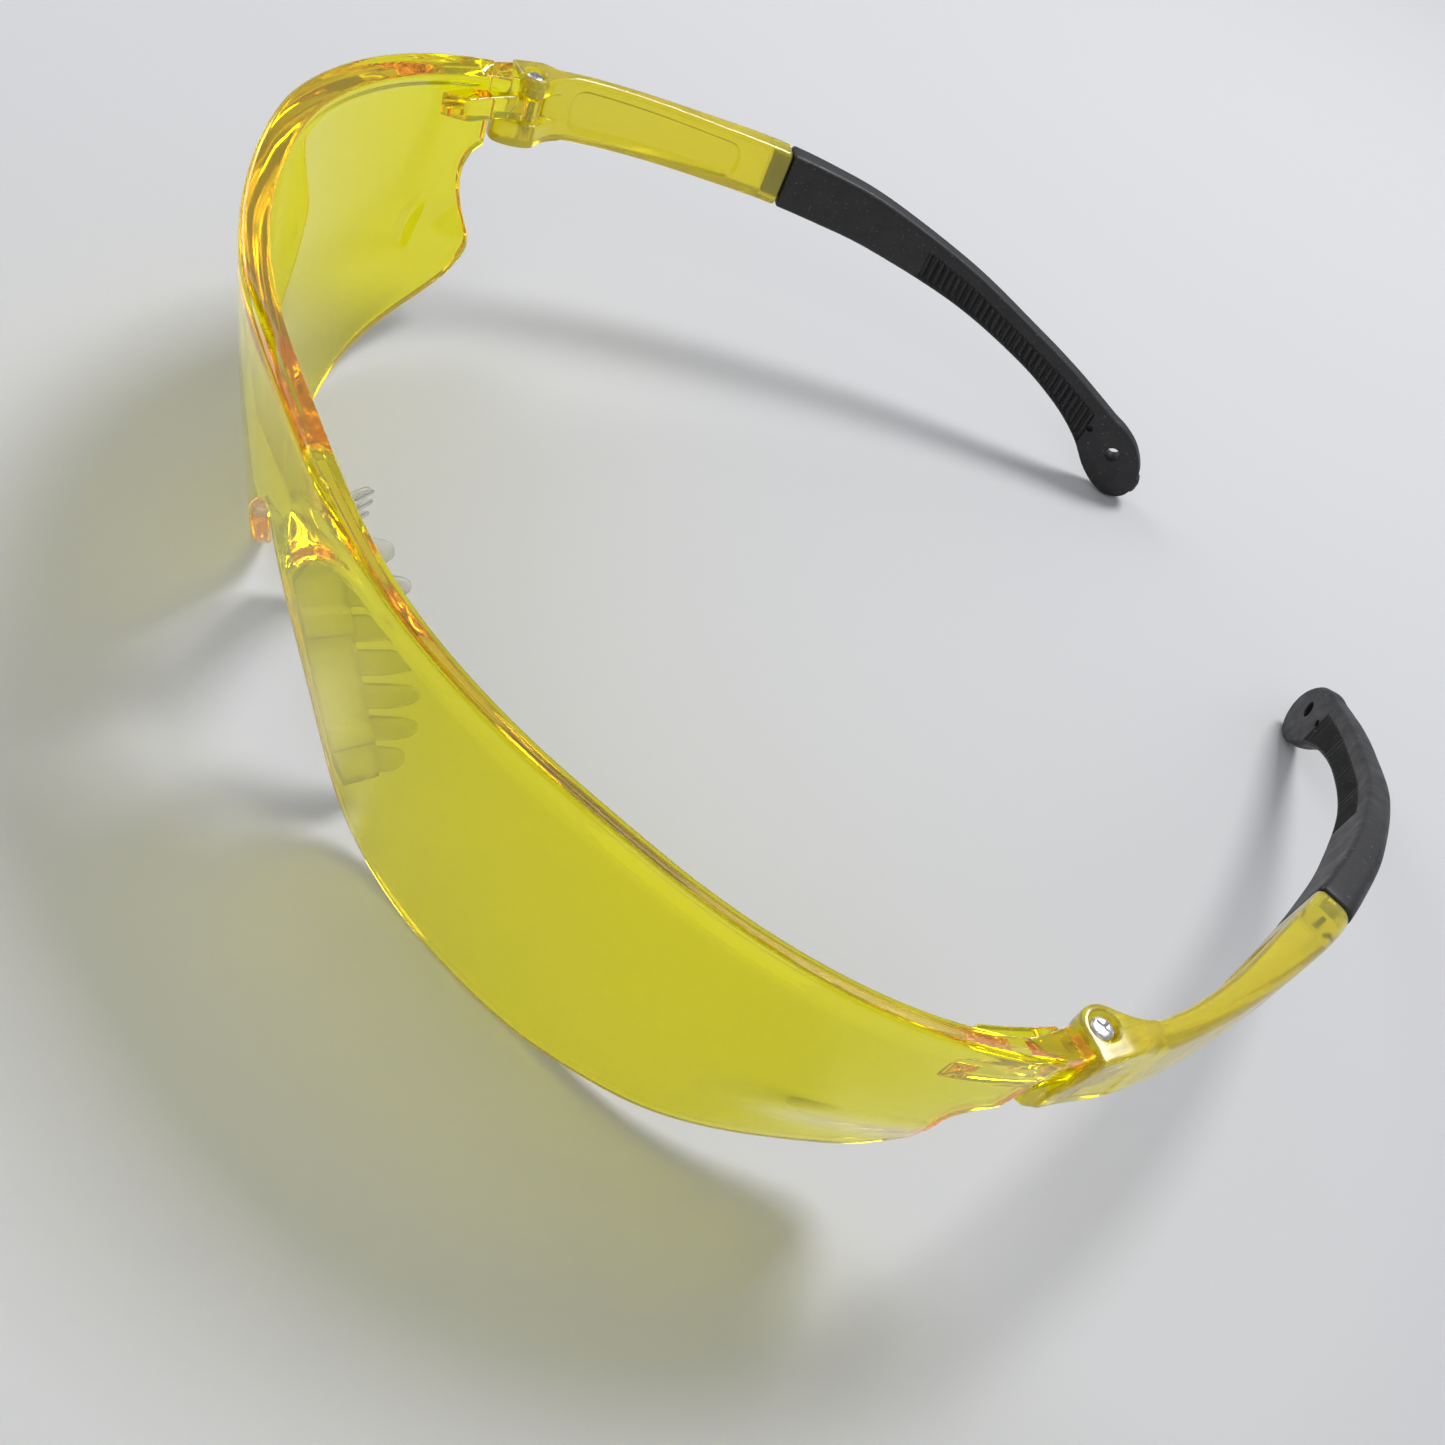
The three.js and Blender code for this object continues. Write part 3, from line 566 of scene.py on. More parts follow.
def lens_column(u):
    """Outer and inner points of one column of the lens, from its lower edge up; u is -1 to 1 across it."""
    s = abs(u)
    low_angle, low = evenly_spaced(LOWER_EDGE, s, True)
    low = max(low, 0)
    top_angle = REAR_TOP_ANGLE * s
    top = float(brow_height(top_angle))
    into_end = max(0, (s - (1 - END_SHARE)) / END_SHARE)
    end_round = END_ROUND * (1 - math.sqrt(max(0, 1 - into_end**2)))

    def place(z, depth):
        share = np.clip((z - low) / (top - low), 0, 1)
        pull = rear_angle(z) - mix(LOWER_EDGE[-1][0], REAR_TOP_ANGLE, share)
        angle = mix(low_angle, top_angle, share) + pull * smooth(s, REAR_PULL_FROM, 1) ** 2
        return wrap_point(np.sign(u) * angle, z, depth)

    sine, cosine = quarter(5)
    level = np.zeros(LENS_ROWS - 2)
    lower_z = low + LENS_EDGE * (1 - cosine)
    # the outer side ends in the crown of the brow
    z = np.concatenate([lower_z, np.linspace(low + LENS_EDGE, top - BROW_CROWN, LENS_ROWS)[1:-1],
                        top - BROW_CROWN + BROW_CROWN * sine])
    depth = np.concatenate([LENS_EDGE * (1 - sine), level, BROW_CROWN * (1 - cosine)])
    outer = place(z, np.maximum(depth, end_round))
    # the inner side ends at the rim's back edge, with extra rows over the rim's foot
    back_z = top - mix(RIM_SLOPE, BRIDGE_SLOPE, float(bridge_share(wrap_point(top_angle, top)[..., 0])))
    foot = back_z - RIM_HEIGHT + RIM_FOOT_RISE
    plain = np.linspace(low + LENS_EDGE, foot - RIM_FOOT_BAND, LENS_ROWS - RIM_ROWS)[1:-1]
    z = np.concatenate([lower_z, plain, np.linspace(foot - RIM_FOOT_BAND, foot + RIM_FOOT_BAND, RIM_ROWS),
                        back_z - LENS_EDGE + LENS_EDGE * sine])
    thickness = lens_thickness(mix(low_angle, top_angle, np.clip((z - low) / (top - low), 0, 1)), z, foot)
    inset = LENS_EDGE * np.concatenate([1 - sine, level, 1 - cosine])
    inner = place(z, thickness - np.maximum(inset, end_round))
    return outer, inner


def lens_shell():
    """The wrapped lens with its brow rim, thick bridge and rounded edges."""
    ending = 1 - END_SHARE * (1 - quarter(5)[0])
    half = np.concatenate([np.linspace(0, 1, LENS_COLUMNS)[:-2], ending])
    half = np.unique(np.round(half, 6))
    columns = [lens_column(u) for u in np.concatenate([-half[:0:-1], half])]
    outer, inner = (np.array(side) for side in zip(*columns))
    return slab("lens_front", outer, inner)


def seam_y(z):
    """How far forward an arm's outer skin comes: it leans back towards the top."""
    return HINGE_Y - EAR_RADIUS - SEAM_LEAN * (1 - smooth(z, LUG_BOTTOM, LUG_TOP + GAP))


def wrapped_block(name, front, bottom, top, near, far, edge, fall=0.0):
    """A block that follows the lens's curve, from the angle `front` back past the seam. It lies between near
    and far(share of its length) behind the lens's outer surface, and its top falls inwards by `fall`."""
    rear = math.degrees(math.acos(1 - (LENS_END_Y + PAST_SEAM) / WRAP_DEPTH))
    sine, cosine = quarter(5)
    middle = np.linspace(bottom + edge, top - edge, 12)[1:-1]
    z = np.concatenate([bottom + edge * (1 - cosine), middle, top - edge + edge * sine])
    inset = edge * np.concatenate([1 - sine, 0 * middle, 1 - cosine])
    lowered = z - fall * smooth(z, (bottom + top) / 2, top)
    outer, inner = [], []
    for u in np.linspace(0, 1, 40):
        angle = mix(front, rear, u)
        outer.append(wrap_point(angle, z, near))
        inner.append(wrap_point(angle, lowered, np.maximum(far(u) - inset, near + 0.1)))
    return slab(name, np.array(outer), np.array(inner))


def hinge_end():
    """Block, stiffening web and lug on the +X side, one solid."""
    block = wrapped_block("block", BLOCK_FRONT_ANGLE, LUG_BOTTOM, EAR_TOP - BLOCK_DROP, near=BLOCK_EDGE,
                          far=lambda u: mix(*BLOCK_DEPTHS, u), edge=BLOCK_EDGE, fall=BLOCK_EDGE)
    web = wrapped_block("web", WEB_FRONT_ANGLE, LUG_BOTTOM + WEB_RAISE, LUG_TOP + WEB_RAISE, near=WEB_START,
                        far=lambda u: mix(*WEB_DEPTHS, float(smooth(u, 0, WEB_RAMP))), edge=WEB_EDGE)
    combine(block, web, "UNION")
    front = np.array([[(HINGE_X + aside, seam_y(z) - GAP, z) for z in np.linspace(*CLEARANCE_HEIGHTS, 60)]
                      for aside in (CLEARANCE_REACH, 0, -CLEARANCE_REACH)])
    behind = front * [1, 0, 1] + [0, LENS_END_Y + CLEARANCE_REACH, 0]
    combine(block, slab("clearance", front, behind), "DIFFERENCE")
    outline = [(HINGE_X - LUG_RADIUS, LENS_END_Y - 3), (HINGE_X + LUG_RADIUS, LENS_END_Y - 3)]
    outline += arc((HINGE_X, HINGE_Y), LUG_RADIUS, 0, 180, 25)
    combine(block, extrude("lug", outline, LUG_BOTTOM, LUG_TOP, 0.2), "UNION")
    return block


def build_lens():
    lens = lens_shell()
    left = hinge_end()
    right = mirrored_copy(left, "hinge_end_mirrored")
    combine(lens, left, "UNION")
    combine(lens, right, "UNION")
    for side in (1, -1):
        bore = lathe("bore", [(BORE_RADIUS, LUG_BOTTOM - 1), (BORE_RADIUS, LUG_TOP + LENS_BORE_OVERRUN)],
                     (side * HINGE_X, HINGE_Y, 0))
        combine(lens, bore, "DIFFERENCE")
    return finish_mesh(lens, "lens_front", 32)


# ---- Nose pads ----

def pad_point(across, along, aside):
    """Across runs back from the lens, along runs up, and aside is counted from the plate's outer face."""
    across, along, aside = np.broadcast_arrays(np.asarray(across, float), along, aside)
    narrowing = PAD_NARROWING * (1 + smooth(along, 1 - PAD_CORNER, 1) - smooth(along, 0, PAD_CORNER))
    reach = mix(narrowing / 2, 1 - narrowing / 2, across)
    z = mix(PAD_BOTTOM, PAD_TOP, along) + PAD_SKEW * reach
    degrees = mix(PAD_BOTTOM_ANGLE, PAD_TOP_ANGLE, along) + PAD_LEAN * reach
    foot = brow_height(degrees) - RIM_HEIGHT - RIM_SLOPE
    lens = lens_thickness(degrees, z + PAD_LENS_ABOVE, foot, crisp=True)
    place = wrap_point(degrees, z, lens + PAD_CLEARANCE + PAD_WIDTH * reach)
    return place + np.stack([aside, 0 * aside, 0 * aside], -1)


def pad_plate():
    across, along = shares(30, 110)
    return slab("plate", pad_point(across, along, 0.0), pad_point(across, along, -PAD_THICKNESS))


def petal(index):
    """A thin soft finger that leans back from the plate and curls."""
    along = (index + 0.5) / len(PETAL_LENGTHS)
    root = pad_point(PETAL_ROOT, along, -PAD_THICKNESS / 2)
    upward = unit(pad_point(0.9, along + 0.02, 0) - pad_point(0.9, along - 0.02, 0))
    out = unit(np.array([*PETAL_AIM, mix(*PETAL_RISE, along)]))
    side = unit(np.cross(out, upward))
    width = np.cross(side, out)
    tapering = 1 - (1 - PETAL_STRAIGHT) * np.cos(np.linspace(0.15, 1.5, 9))
    rings = []
    for reach in np.concatenate([np.linspace(0, PETAL_STRAIGHT, 8), tapering]):
        half = PETAL_WIDTH / 2 * math.sqrt(max(1 - reach**4, 0.01))
        thick = PETAL_THICKNESS * (1 - PETAL_TAPER * reach) / 2 * math.sqrt(max(1 - reach**12, 0.1))
        centre = root + out * PETAL_LENGTHS[index] * reach - side * PETAL_CURL * reach**2
        ring = []
        for a, b in arc((0, 0), 1, 0, 342, 20):
            ring.append(centre + width * half * math.copysign(abs(a) ** PETAL_SQUARENESS, a)
                        + side * thick * math.copysign(abs(b) ** PETAL_SQUARENESS, b))
        rings.append(ring)
    return loft("petal", rings)


def pad_lug(along):
    """A mounting bar across the plate's outer face."""
    across, rise = shares(8, 6)
    across, rise = mix(*LUG_SPAN, across), mix(LUG_SUNK, LUG_RISE, rise)
    return slab("lug", pad_point(across, along - LUG_HALF_SHARE, rise),
                pad_point(across, along + LUG_HALF_SHARE, rise))


def build_pad():
    pad = pad_plate()
    for index in range(len(PETAL_LENGTHS)):
        combine(pad, petal(index), "UNION")
    for along in MOUNT_LUGS:
        combine(pad, pad_lug(along), "UNION")
    return finish_mesh(soften(pad, PAD_VOXEL, 3), "pad_left", 60)


# ---- Temples ----

LAST_STATION = len(TEMPLE) - 1


def temple_frame(stations):
    """Where the temple is at each station, and the direction from its inner to its outer face in plan."""
    points = np.array(TEMPLE, float)
    share = np.atleast_1d(stations) / LAST_STATION
    step = 0.002
    here = spline(points, share)
    ahead = spline(points, np.minimum(share + step, 1))
    behind = spline(points, np.maximum(share - step, 0))
    forward = ahead[:, :2] - behind[:, :2]
    forward /= np.linalg.norm(forward, axis=1)[:, None]
    return here, np.column_stack([forward[:, 1], -forward[:, 0]])


ARC_STATIONS = np.linspace(0, LAST_STATION, 1500)
ARC_PLAN = temple_frame(ARC_STATIONS)[0][:, :2]
ARC_LENGTH = np.concatenate([[0], np.cumsum(np.linalg.norm(np.diff(ARC_PLAN, axis=0), axis=1))])


def station_at(length):
    return np.interp(length, ARC_LENGTH, ARC_STATIONS)


def length_at(station):
    return float(np.interp(station, ARC_STATIONS, ARC_LENGTH))


PANEL_FROM, PANEL_TO = map(length_at, PANEL_STATIONS)
RIBS_FROM, RIBS_TO = map(length_at, RIB_STATIONS)


def section(inner_radius, outer_radius, face_points, low, high, near, far):
    """A closed section (across, height): inner face up, crown, outer face down; corners rounded."""
    ri = min(inner_radius, (far - near) * 0.45, (high - low) * 0.45)
    ro = min(outer_radius, (far - near) * 0.52, (high - low) * 0.45)
    points = [(near, z) for z in np.linspace(low + ri, high - ri, face_points)]
    points += arc((near + ri, high - ri), ri, 180, 90, 6)[1:]
    points += arc((far - ro, high - ro), ro, 90, 0, 9)
    points += [(far, z) for z in np.linspace(high - ro, low + ro, 10)[1:-1]]
    points += arc((far - ro, low + ro), ro, 0, -90, 9)
    points += arc((near + ri, low + ri), ri, -90, -180, 6)[:-1]
    return points


def temple_rings(stations, inset=0, relief=None, face_points=12, inner_radius=0.8, outer_radius=1.5):
    """Rings along the temple, each shrunk all round by its inset. The inner face is sunk by
    relief(length along the temple, distance below the top, distance above the bottom)."""
    rings = []
    for station, row, direction, shrink in zip(stations, *temple_frame(stations),
                                               np.broadcast_to(inset, len(stations))):
        x, y, top, bottom, thickness = row
        length = length_at(station)
        inner_side = min(thickness / 2, shrink + inner_radius + 0.01)
        ring = []
        for across, z in section(inner_radius, outer_radius, face_points, bottom + shrink, top - shrink,
                                 shrink, thickness - shrink):
            if relief and across < inner_side:
                across += relief(length, top - z, z - bottom)
            ring.append((x + direction[0] * across, y + direction[1] * across, z))
        rings.append(ring)
    return rings


def panel_relief(length, below_top, above_bottom):
    """A long shallow recess with rounded ends on the arm's inner face."""
    margin = min(below_top - PANEL_TOP_MARGIN, above_bottom - PANEL_BOTTOM_MARGIN)
    ends = min(length - PANEL_FROM, PANEL_TO - length)
    if margin < PANEL_CORNER and ends < PANEL_CORNER:
        distance = PANEL_CORNER - math.hypot(PANEL_CORNER - margin, PANEL_CORNER - ends)
    else:
        distance = min(margin, ends)
    return PANEL_DEPTH * float(smooth(distance, 0, PANEL_SLOPE))


def rib_relief(length, below_top, above_bottom):
    """Fine ribs across the inside of the curve, cut into a shallow band."""
    if not RIBS_FROM < length < RIBS_TO:
        return 0.0
    pitch = (RIBS_TO - RIBS_FROM) / RIB_COUNT
    phase = (length - RIBS_FROM) / pitch % 1
    groove = smooth(abs(phase - 0.5), 0.5, 0.22)
    ends = smooth(below_top, 1.9, 2.4) * smooth(above_bottom, 0.35, 0.9)
    return RIB_DEPTH * float(groove * ends)


def ear_outline(reach, outer_x):
    """Plan of an ear: round the boss, along the outer skin and into the arm. The lower ear reaches further
    forward than its boss is wide, as a long lobe with a rounded outer corner."""
    front_y = HINGE_Y - reach
    if reach > EAR_RADIUS:
        front = [(outer_x - inwards, front_y + back) for inwards, back in LOBE_FRONT]
        start, across = 262, LOBE_HALF_WIDTH
    else:
        front = [(outer_x, front_y)]
        start, across = 270, reach
    boss = []
    for angle in np.radians(np.linspace(start, 140, 23)):
        ahead = reach if math.sin(angle) < 0 else across
        boss.append((HINGE_X + across * math.cos(angle), HINGE_Y + ahead * math.sin(angle)))
    blend = [(HINGE_X + x, HINGE_Y + y) for x, y in EAR_BLEND]
    skin = [(outer_x + x, HINGE_Y + y) for x, y in EAR_SKIN]
    return (front + boss + blend + skin)[::-1]


def skin_x(y, z):
    """The arm's outer skin beside the hinge, level with the lens in front of it."""
    front_x = SKIN_X + SKIN_LEAN * (z - SKIN_HEIGHT)
    return mix(front_x, SKIN_REAR_X, smooth(y, HINGE_Y - EAR_RADIUS, HEAD_REAR_Y))


def cheek():
    """The skin that closes the head of the arm between its ears, with its lower front corner rounded."""
    back, up = shares(40, 34)
    corner = 1 - np.sqrt(1 - np.clip(1 - back / CHEEK_CORNER_SHARE, 0, 1) ** 2)
    z = mix(EAR_BOTTOM + CHEEK_CORNER * corner, EAR_TOP, up)
    y = mix(seam_y(z), HEAD_REAR_Y, back)
    inside = HINGE_X + LUG_RADIUS + GAP + 0.05
    return slab("cheek", np.stack([skin_x(y, z), y, z], -1), np.stack([0 * y + inside, y, z], -1))


def head_to_arm(x, y, z):
    """Lowers the head's top and rounds its outer corners more and more towards the arm."""
    share = float(smooth(y, HEAD_FLOW_FROM_Y, HEAD_REAR_Y))
    z -= HEAD_DROP * share * float(smooth(z, LUG_TOP + GAP, EAR_TOP))
    radius = max(HEAD_CORNER * share, 0.05)
    top, outer = EAR_TOP - HEAD_DROP * share, skin_x(y, z)
    beyond_x = max(x - outer + radius, 0)
    for face, sign in ((top, 1), (EAR_BOTTOM, -1)):
        beyond_z = max(sign * (z - face) + radius, 0)
        spread = math.hypot(beyond_x, beyond_z)
        if beyond_x > 0 and beyond_z > 0 and spread > radius:
            x = outer - radius + beyond_x * radius / spread
            z = face + sign * (beyond_z * radius / spread - radius)
            break
    return x, y, z


def build_head():
    """The root, the two ears and the cheek that closes them, rounded together and run into the arm."""
    front_y, rear_y = ROOT_Y
    root = [(ROOT_X[0], front_y), (ROOT_X[1], rear_y), (ROOT_INSIDE_X, rear_y), (ROOT_INSIDE_X, front_y)]
    head = extrude("head", root, EAR_BOTTOM + 0.3, EAR_TOP - 0.3, 0.2)
    upper, lower = ear_outline(EAR_RADIUS, UPPER_EAR_X), ear_outline(LOBE_REACH, LOWER_EAR_X)
    combine(head, extrude("upper_ear", upper, LUG_TOP + GAP, EAR_TOP, 0.3), "UNION")
    combine(head, extrude("lower_ear", lower, EAR_BOTTOM, LUG_BOTTOM - GAP, 0.4), "UNION")
    combine(head, cheek(), "UNION")
    soften(head, ARM_VOXEL, 1)
    origin = Vector((0, FRONT_Y, 0))
    for vertex in head.data.vertices:
        vertex.co = Vector(head_to_arm(*(MM * (vertex.co - origin)))) / MM + origin
    lengths = np.linspace(*map(length_at, STUB_STATIONS), 40)
    stub = temple_rings(station_at(lengths), 0.02, panel_relief, FACE_POINTS, outer_radius=ARM_OUTER_RADIUS)
    combine(head, loft("stub", stub), "UNION")
    return soften(head, ARM_VOXEL, HEAD_SMOOTHING)


def build_arm():
    """The arm with its head, the screw's bore and recess, and the tongue that the rubber tip goes over."""
    sine, cosine = quarter(6)
    start, end = length_at(ARM_FROM_STATION), length_at(JUNCTION + COLLAR_LENGTH)
    lengths = np.concatenate([np.linspace(start, end - ARM_END_ROUND, ARM_RINGS),
                              end - ARM_END_ROUND + ARM_END_ROUND * sine[1:]])
    inset = np.concatenate([ARM_START_INSET * (1 - smooth(np.arange(ARM_RINGS), 0, 16)),
                            ARM_END_INSET * (1 - cosine[1:])])
    arm = loft("arm", temple_rings(station_at(lengths), inset, panel_relief, FACE_POINTS,
                                   outer_radius=ARM_OUTER_RADIUS))
    combine(arm, build_head(), "UNION")
    hinge = (HINGE_X, HINGE_Y, 0)
    above = EAR_TOP + 1
    combine(arm, lathe("bore", [(BORE_RADIUS, SCREW_END - GAP), (BORE_RADIUS, above)], hinge), "DIFFERENCE")
    wall = SCREW_HEAD_RADIUS + GAP
    mouth = wall + RECESS_MOUTH
    recess = [(wall, SCREW_TOP - SCREW_HEAD_HEIGHT - GAP), (wall, EAR_TOP - 0.2),
              (mouth, EAR_TOP + 0.05), (mouth, above)]
    combine(arm, lathe("recess", recess, hinge), "DIFFERENCE")
    socket = np.linspace(JUNCTION - 0.02, JUNCTION + COLLAR_LENGTH + 0.2, 12)
    combine(arm, loft("socket", temple_rings(socket, COLLAR_WALL)), "DIFFERENCE")
    tongue = np.linspace(JUNCTION - 0.2, TONGUE_END, 24)
    tongue_inset = COLLAR_WALL + GAP + SLEEVE_WALL + GAP
    combine(arm, loft("tongue", temple_rings(tongue, tongue_inset)), "UNION")
    drop_specks(arm)
    return finish_mesh(arm, "arm_left", 40)


def through_paddle(place, radius, start, end):
    """A drill across the tip's flat paddle; start and end are counted outwards from the place."""
    direction = temple_frame([PADDLE_STATION])[1][0]
    return lathe("drill", [(radius, start), (radius, end)], place, Vector((*direction, 0)), 40)


def build_tip():
    """The rubber tip: a ribbed, rounded sleeve that turns down into a flat paddle with a cord hole."""
    sine, cosine = quarter(5)
    start = length_at(JUNCTION + COLLAR_LENGTH + GAP / STATION_LENGTH)
    end = length_at(LAST_STATION) - 0.05
    front = start + TIP_FRONT_ROUND * (1 - cosine)
    ribbed = np.linspace(RIBS_FROM - 0.2, RIBS_TO + 0.2, RIB_COUNT * RIB_RINGS)
    lengths = np.concatenate([front, np.linspace(front[-1], ribbed[0], 30)[1:-1], ribbed,
                              np.linspace(ribbed[-1], end, 70)[1:]])
    inset = np.zeros(len(lengths))
    inset[:5] = TIP_FRONT_ROUND * (1 - sine)
    rings = np.array(temple_rings(station_at(lengths), inset, rib_relief, TIP_FACE_POINTS, *TIP_RADII))
    tail, centre = rings[-1], rings[-1].mean(0)
    along = unit(centre - rings[-8].mean(0)) * [1, 1, 0]
    closing = [centre + (tail - centre) * math.cos(turn) + along * TIP_TAIL * math.sin(turn)
               for turn in np.radians([22, 45, 66, 82])]
    tip = loft("tip", np.concatenate([rings, closing]))
    inner_wall = COLLAR_WALL + GAP
    sleeve = np.linspace(JUNCTION + 0.03, JUNCTION + COLLAR_LENGTH + 0.12, 12)
    combine(tip, loft("sleeve", temple_rings(sleeve, inner_wall)), "UNION")
    socket = np.linspace(JUNCTION - 0.1, TONGUE_END + 0.05, 24)
    combine(tip, loft("socket", temple_rings(socket, inner_wall + SLEEVE_WALL)), "DIFFERENCE")
    combine(tip, through_paddle(CORD_HOLE, CORD_HOLE_RADIUS, -6, 8), "DIFFERENCE")
    combine(tip, through_paddle(DIMPLE, DIMPLE_RADIUS, -2, DIMPLE_DEPTH), "DIFFERENCE")
    return finish_mesh(tip, "tip_left", 38)


# ---- Screws ----

def build_screw():
    """A threaded shank under a domed head with a cross in it."""
    under = SCREW_TOP - SCREW_HEAD_HEIGHT
    profile = [(AXIS_RADIUS, SCREW_END), (SCREW_TIP_RADIUS, SCREW_END + 0.05)]
    z = SCREW_END + 0.6
    while z < under - THREAD_CLEAR_BELOW_HEAD:
        profile += [(THREAD_ROOT, z), (THREAD_CREST, z + 0.45 * THREAD_PITCH),
                    (THREAD_CREST, z + 0.6 * THREAD_PITCH)]
        z += THREAD_PITCH
    profile += [(0.6, z), (SCREW_RADIUS, under - 0.8), (SCREW_RADIUS, under)]
    profile += [(SCREW_HEAD_RADIUS - 0.06, under), (SCREW_HEAD_RADIUS, under + 0.06)]
    for turn in np.radians(np.linspace(0, 84, 8)):
        profile.append((SCREW_HEAD_RADIUS * math.cos(turn) ** 0.55,
                        SCREW_TOP - SCREW_DOME + SCREW_DOME * math.sin(turn)))
    profile.append((AXIS_RADIUS, SCREW_TOP))
    screw = lathe("screw_left", profile, (HINGE_X, HINGE_Y, 0), steps=64)
    cross = []
    for k in range(4):
        turn = CROSS_TURN + k * math.pi / 2
        along = np.array([math.cos(turn), math.sin(turn)])
        across = np.array([-along[1], along[0]]) * CROSS_HALF
        for reach, side in ((CROSS_HALF, -1), (CROSS_REACH, -1), (CROSS_REACH, 1)):
            cross.append((HINGE_X, HINGE_Y) + along * reach + across * side)
    combine(screw, extrude("cross", cross, SCREW_TOP - CROSS_DEPTH, SCREW_TOP + 0.3, 0.05), "DIFFERENCE")
    drop_specks(screw)
    return finish_mesh(screw, "screw_left", 40)


# ---- Materials ----

def material(name, values):
    """A material with these values set on its Principled shader."""
    made = bpy.data.materials.new(name)
    made.use_nodes = True
    tree = made.node_tree
    shader = tree.nodes["Principled BSDF"]
    for socket, value in values.items():
        shader.inputs[socket].default_value = value
    return made, tree, shader


def noise(tree, scale, detail=3.0, roughness=0.55):
    place = tree.nodes.new("ShaderNodeTexCoord")
    made = tree.nodes.new("ShaderNodeTexNoise")
    made.inputs["Scale"].default_value = scale
    made.inputs["Detail"].default_value = detail
    made.inputs["Roughness"].default_value = roughness
    tree.links.new(place.outputs["Object"], made.inputs["Vector"])
    return made.outputs["Fac"]


def ranged(tree, value, low, high, to_low, to_high):
    made = tree.nodes.new("ShaderNodeMapRange")
    for socket, number in zip(("From Min", "From Max", "To Min", "To Max"), (low, high, to_low, to_high)):
        made.inputs[socket].default_value = number
    tree.links.new(value, made.inputs["Value"])
    return made.outputs["Result"]


def roughen(tree, shader, grain, smoothest, roughest, span=(0.3, 0.7)):
    """Lets the roughness wander between two values as the grain goes through its span."""
    tree.links.new(ranged(tree, grain, *span, smoothest, roughest), shader.inputs["Roughness"])


def bump(tree, shader, height, strength, distance):
    made = tree.nodes.new("ShaderNodeBump")
    made.inputs["Strength"].default_value = strength
    made.inputs["Distance"].default_value = distance
    tree.links.new(height, made.inputs["Height"])
    tree.links.new(made.outputs["Normal"], shader.inputs["Normal"])


def absorb(tree, colour, density):
    """Tints the light by how far it goes through the solid, so thick edges are deeper in colour."""
    volume = tree.nodes.new("ShaderNodeVolumeAbsorption")
    volume.inputs["Color"].default_value = (*colour, 1)
    volume.inputs["Density"].default_value = density
    tree.links.new(volume.outputs["Volume"], tree.nodes["Material Output"].inputs["Volume"])


def amber_lens():
    made, tree, shader = material("amber_polycarbonate", {
        "Base Color": (1, 0.95, 0.75, 1), "IOR": 1.586, "Transmission Weight": 1})
    roughen(tree, shader, noise(tree, 90, 4), 0.008, 0.05, (0.45, 0.75))
    absorb(tree, (0.9998, 0.9968, 0.04), 2100)
    return made


def yellow_arm():
    made, tree, shader = material("yellow_polycarbonate", {
        "Base Color": (1, 0.9, 0.14, 1), "IOR": 1.56, "Specular IOR Level": 0.25, "Transmission Weight": 0.8})
    roughen(tree, shader, noise(tree, 260), 0.12, 0.22)
    absorb(tree, (0.9998, 0.987, 0.04), 800)
    return made


def black_rubber():
    made, tree, shader = material("black_rubber", {})
    base = tree.nodes.new("ShaderNodeMix")
    base.data_type = "RGBA"
    base.inputs["A"].default_value = (0.011, 0.011, 0.013, 1)
    base.inputs["B"].default_value = (0.2, 0.2, 0.22, 1)
    specks = ranged(tree, noise(tree, 2600, 2, 0.4), 0.68, 0.76, 0, 0.55)
    tree.links.new(specks, base.inputs["Factor"])
    tree.links.new(base.outputs["Result"], shader.inputs["Base Color"])
    roughen(tree, shader, noise(tree, 420, 4), 0.42, 0.62)
    bump(tree, shader, noise(tree, 3200), 0.5, 0.00006)
    return made


def clear_rubber():
    made, tree, shader = material("clear_rubber", {
        "Base Color": (1, 1, 0.98, 1), "IOR": 1.45, "Transmission Weight": 0.65, "Subsurface Weight": 1,
        "Subsurface Radius": (1, 1, 0.9), "Subsurface Scale": 0.0015})
    roughen(tree, shader, noise(tree, 600), 0.1, 0.24)
    bump(tree, shader, noise(tree, 1500, 2), 0.15, 0.00003)
    return made


def plated_steel():
    made, tree, shader = material("plated_steel", {"Base Color": (0.72, 0.72, 0.74, 1), "Metallic": 1})
    roughen(tree, shader, noise(tree, 1500, 4), 0.2, 0.36)
    bump(tree, shader, noise(tree, 4000, 2), 0.3, 0.00003)
    return made


# ---- Assembly ----

def finish_piece(obj, node, body, look):
    obj.data.materials.clear()
    obj.data.materials.append(look)
    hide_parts(node)
    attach(obj, body)


finish_piece(build_lens(), "lens", "front", amber_lens())
sided = [
    (build_pad(), "nose_pad", "pad", "front", "pad_soft", clear_rubber()),
    (build_arm(), "temple_arm", "arm", "temple", "arm_yellow", yellow_arm()),
    (build_tip(), "temple_tip", "tip", "temple", "tip_rubber", black_rubber()),
    (build_screw(), "hinge_screw", "screw", "temple", "screw_steel", plated_steel()),
]
for left_piece, node, short, body, slot, look in sided:
    right_piece = mirrored_copy(left_piece, f"{short}_right")
    for piece, side in ((left_piece, "left"), (right_piece, "right")):
        rides = body if body == "front" else f"{side}_temple"
        finish_piece(piece, f"{node}_{side}", rides, look)

# ---- Stage, in metres ----

FLOOR_HALF = 3
FLOOR_DROP = 0.0001
BOUNCES = 64

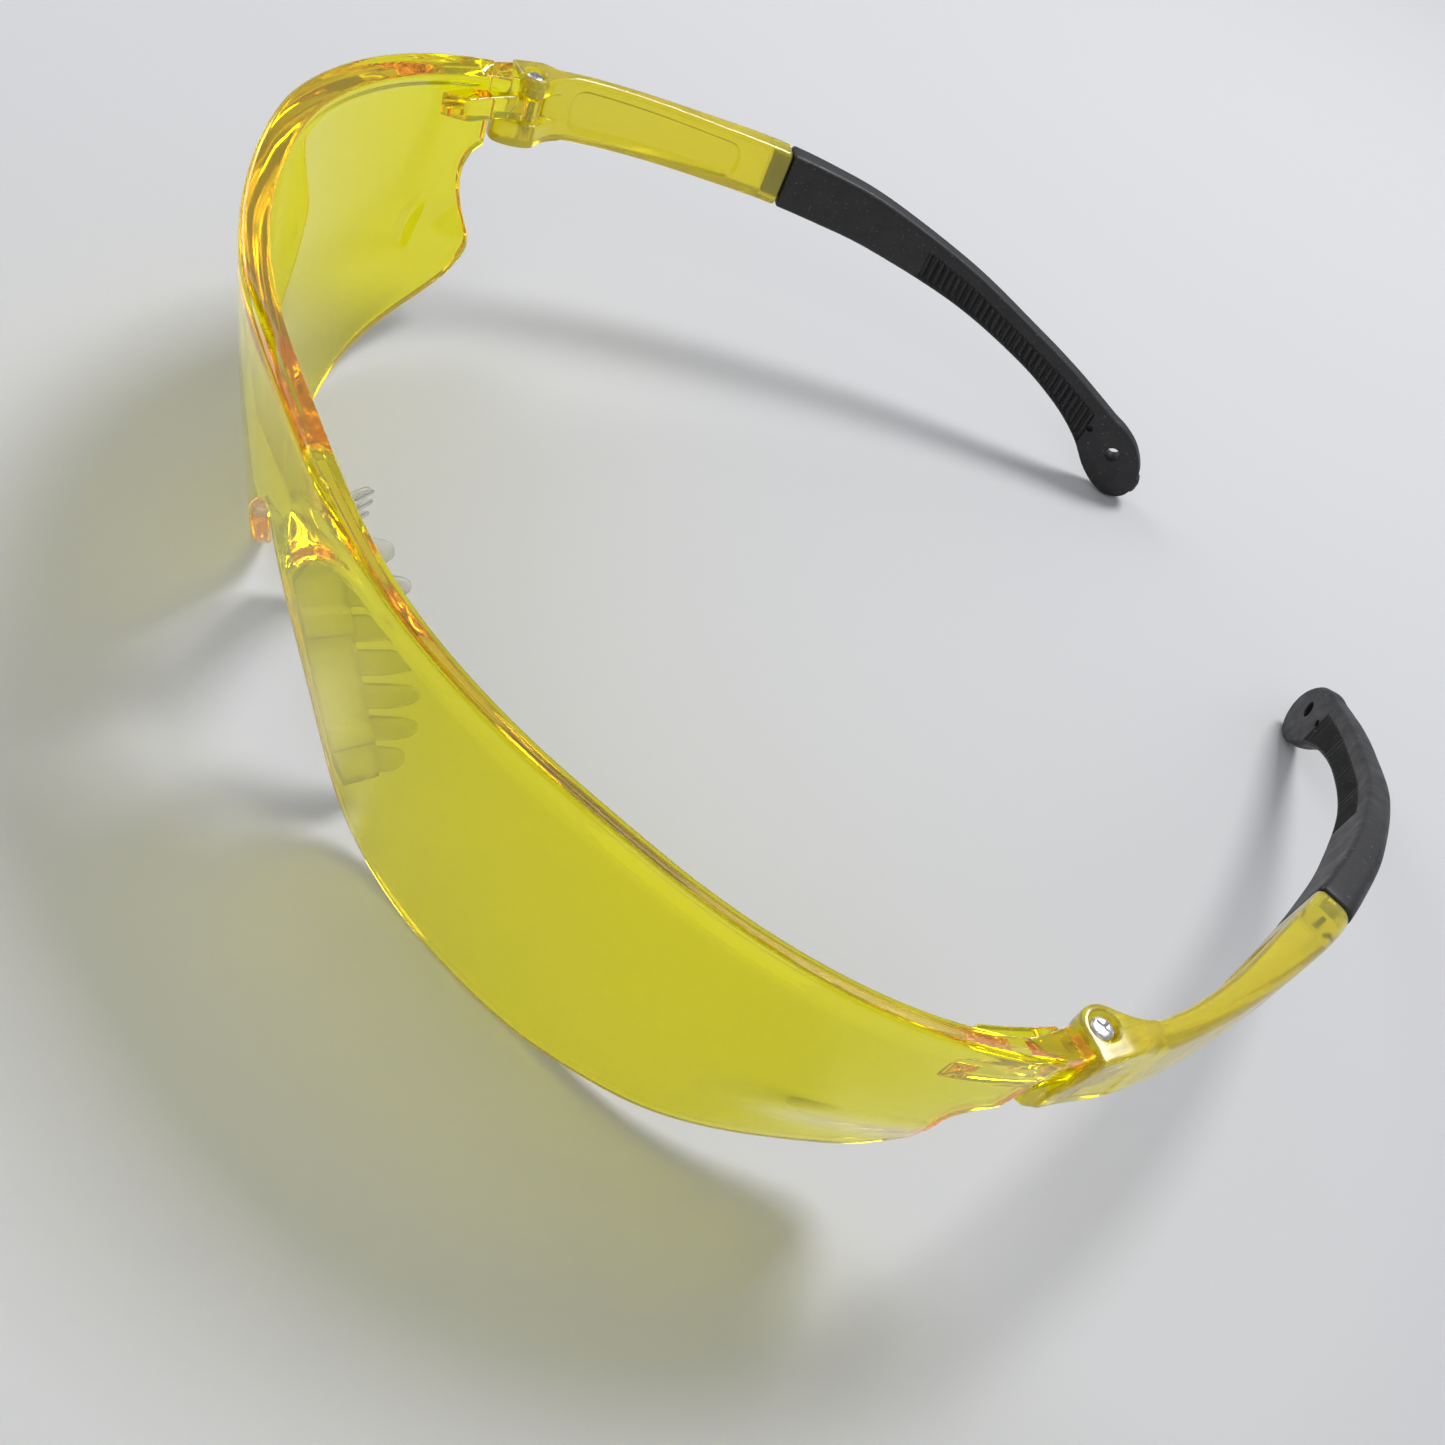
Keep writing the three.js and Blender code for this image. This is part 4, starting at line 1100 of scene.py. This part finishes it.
floor_mesh = bpy.data.meshes.new("floor")
corners = [(x * FLOOR_HALF, y * FLOOR_HALF, 0) for x, y in ((-1, -1), (1, -1), (1, 1), (-1, 1))]
floor_mesh.from_pydata(corners, [], [(0, 1, 2, 3)])
floor = link(bpy.data.objects.new("floor", floor_mesh))
floor.data.materials.append(material("floor", {"Base Color": (0.62, 0.62, 0.63, 1), "Roughness": 0.75})[0])
floor.location.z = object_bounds()[0][2] - FLOOR_DROP


def area_light(name, place, target, size, power):
    data = bpy.data.lights.new(name, "AREA")
    data.shape = "RECTANGLE"
    data.size, data.size_y = size
    data.energy = power
    light = link(bpy.data.objects.new(name, data))
    light.location = place
    light.rotation_euler = (Vector(target) - Vector(place)).to_track_quat("-Z", "Y").to_euler()


area_light("key", (-0.18, 0.42, 0.75), (0, 0, 0), (0.3, 0.3), 5)
area_light("fill", (0.6, -0.5, 0.55), (0, 0, 0), (0.7, 0.7), 1.6)
area_light("rim", (-0.6, -0.2, 0.4), (0, 0, 0.02), (0.5, 0.3), 1.2)

world = bpy.data.worlds.new("studio")
world.use_nodes = True
background = world.node_tree.nodes["Background"]
background.inputs["Color"].default_value = (0.9, 0.93, 1, 1)
background.inputs["Strength"].default_value = 0.35
scene = bpy.context.scene
scene.world = world
scene.view_settings.view_transform = "Standard"
# light goes round many times inside the thick clear rims, and with fewer bounces they turn black
scene.cycles.max_bounces = BOUNCES
scene.cycles.glossy_bounces = BOUNCES
scene.cycles.transmission_bounces = BOUNCES

# ---- Camera at the photograph's angle ----

CAMERA_AT = Vector((0.1018, FRONT_Y - 0.0329, 0.1263))
CAMERA_RIGHT = Vector((0.391, 0.8584, 0.3322)).normalized()
CAMERA_DOWN = Vector((0.77, -0.1074, -0.629))

down = (CAMERA_DOWN - CAMERA_RIGHT * CAMERA_DOWN.dot(CAMERA_RIGHT)).normalized()
back = CAMERA_RIGHT.cross(-down)
camera_data = bpy.data.cameras.new("camera")
camera_data.sensor_width = 36
camera_data.lens = 36.62
camera_data.clip_start = 0.01
camera = link(bpy.data.objects.new("camera", camera_data))
axes = Matrix((CAMERA_RIGHT, -down, back)).transposed().to_4x4()
camera.matrix_world = Matrix.Translation(CAMERA_AT) @ axes
scene.camera = camera
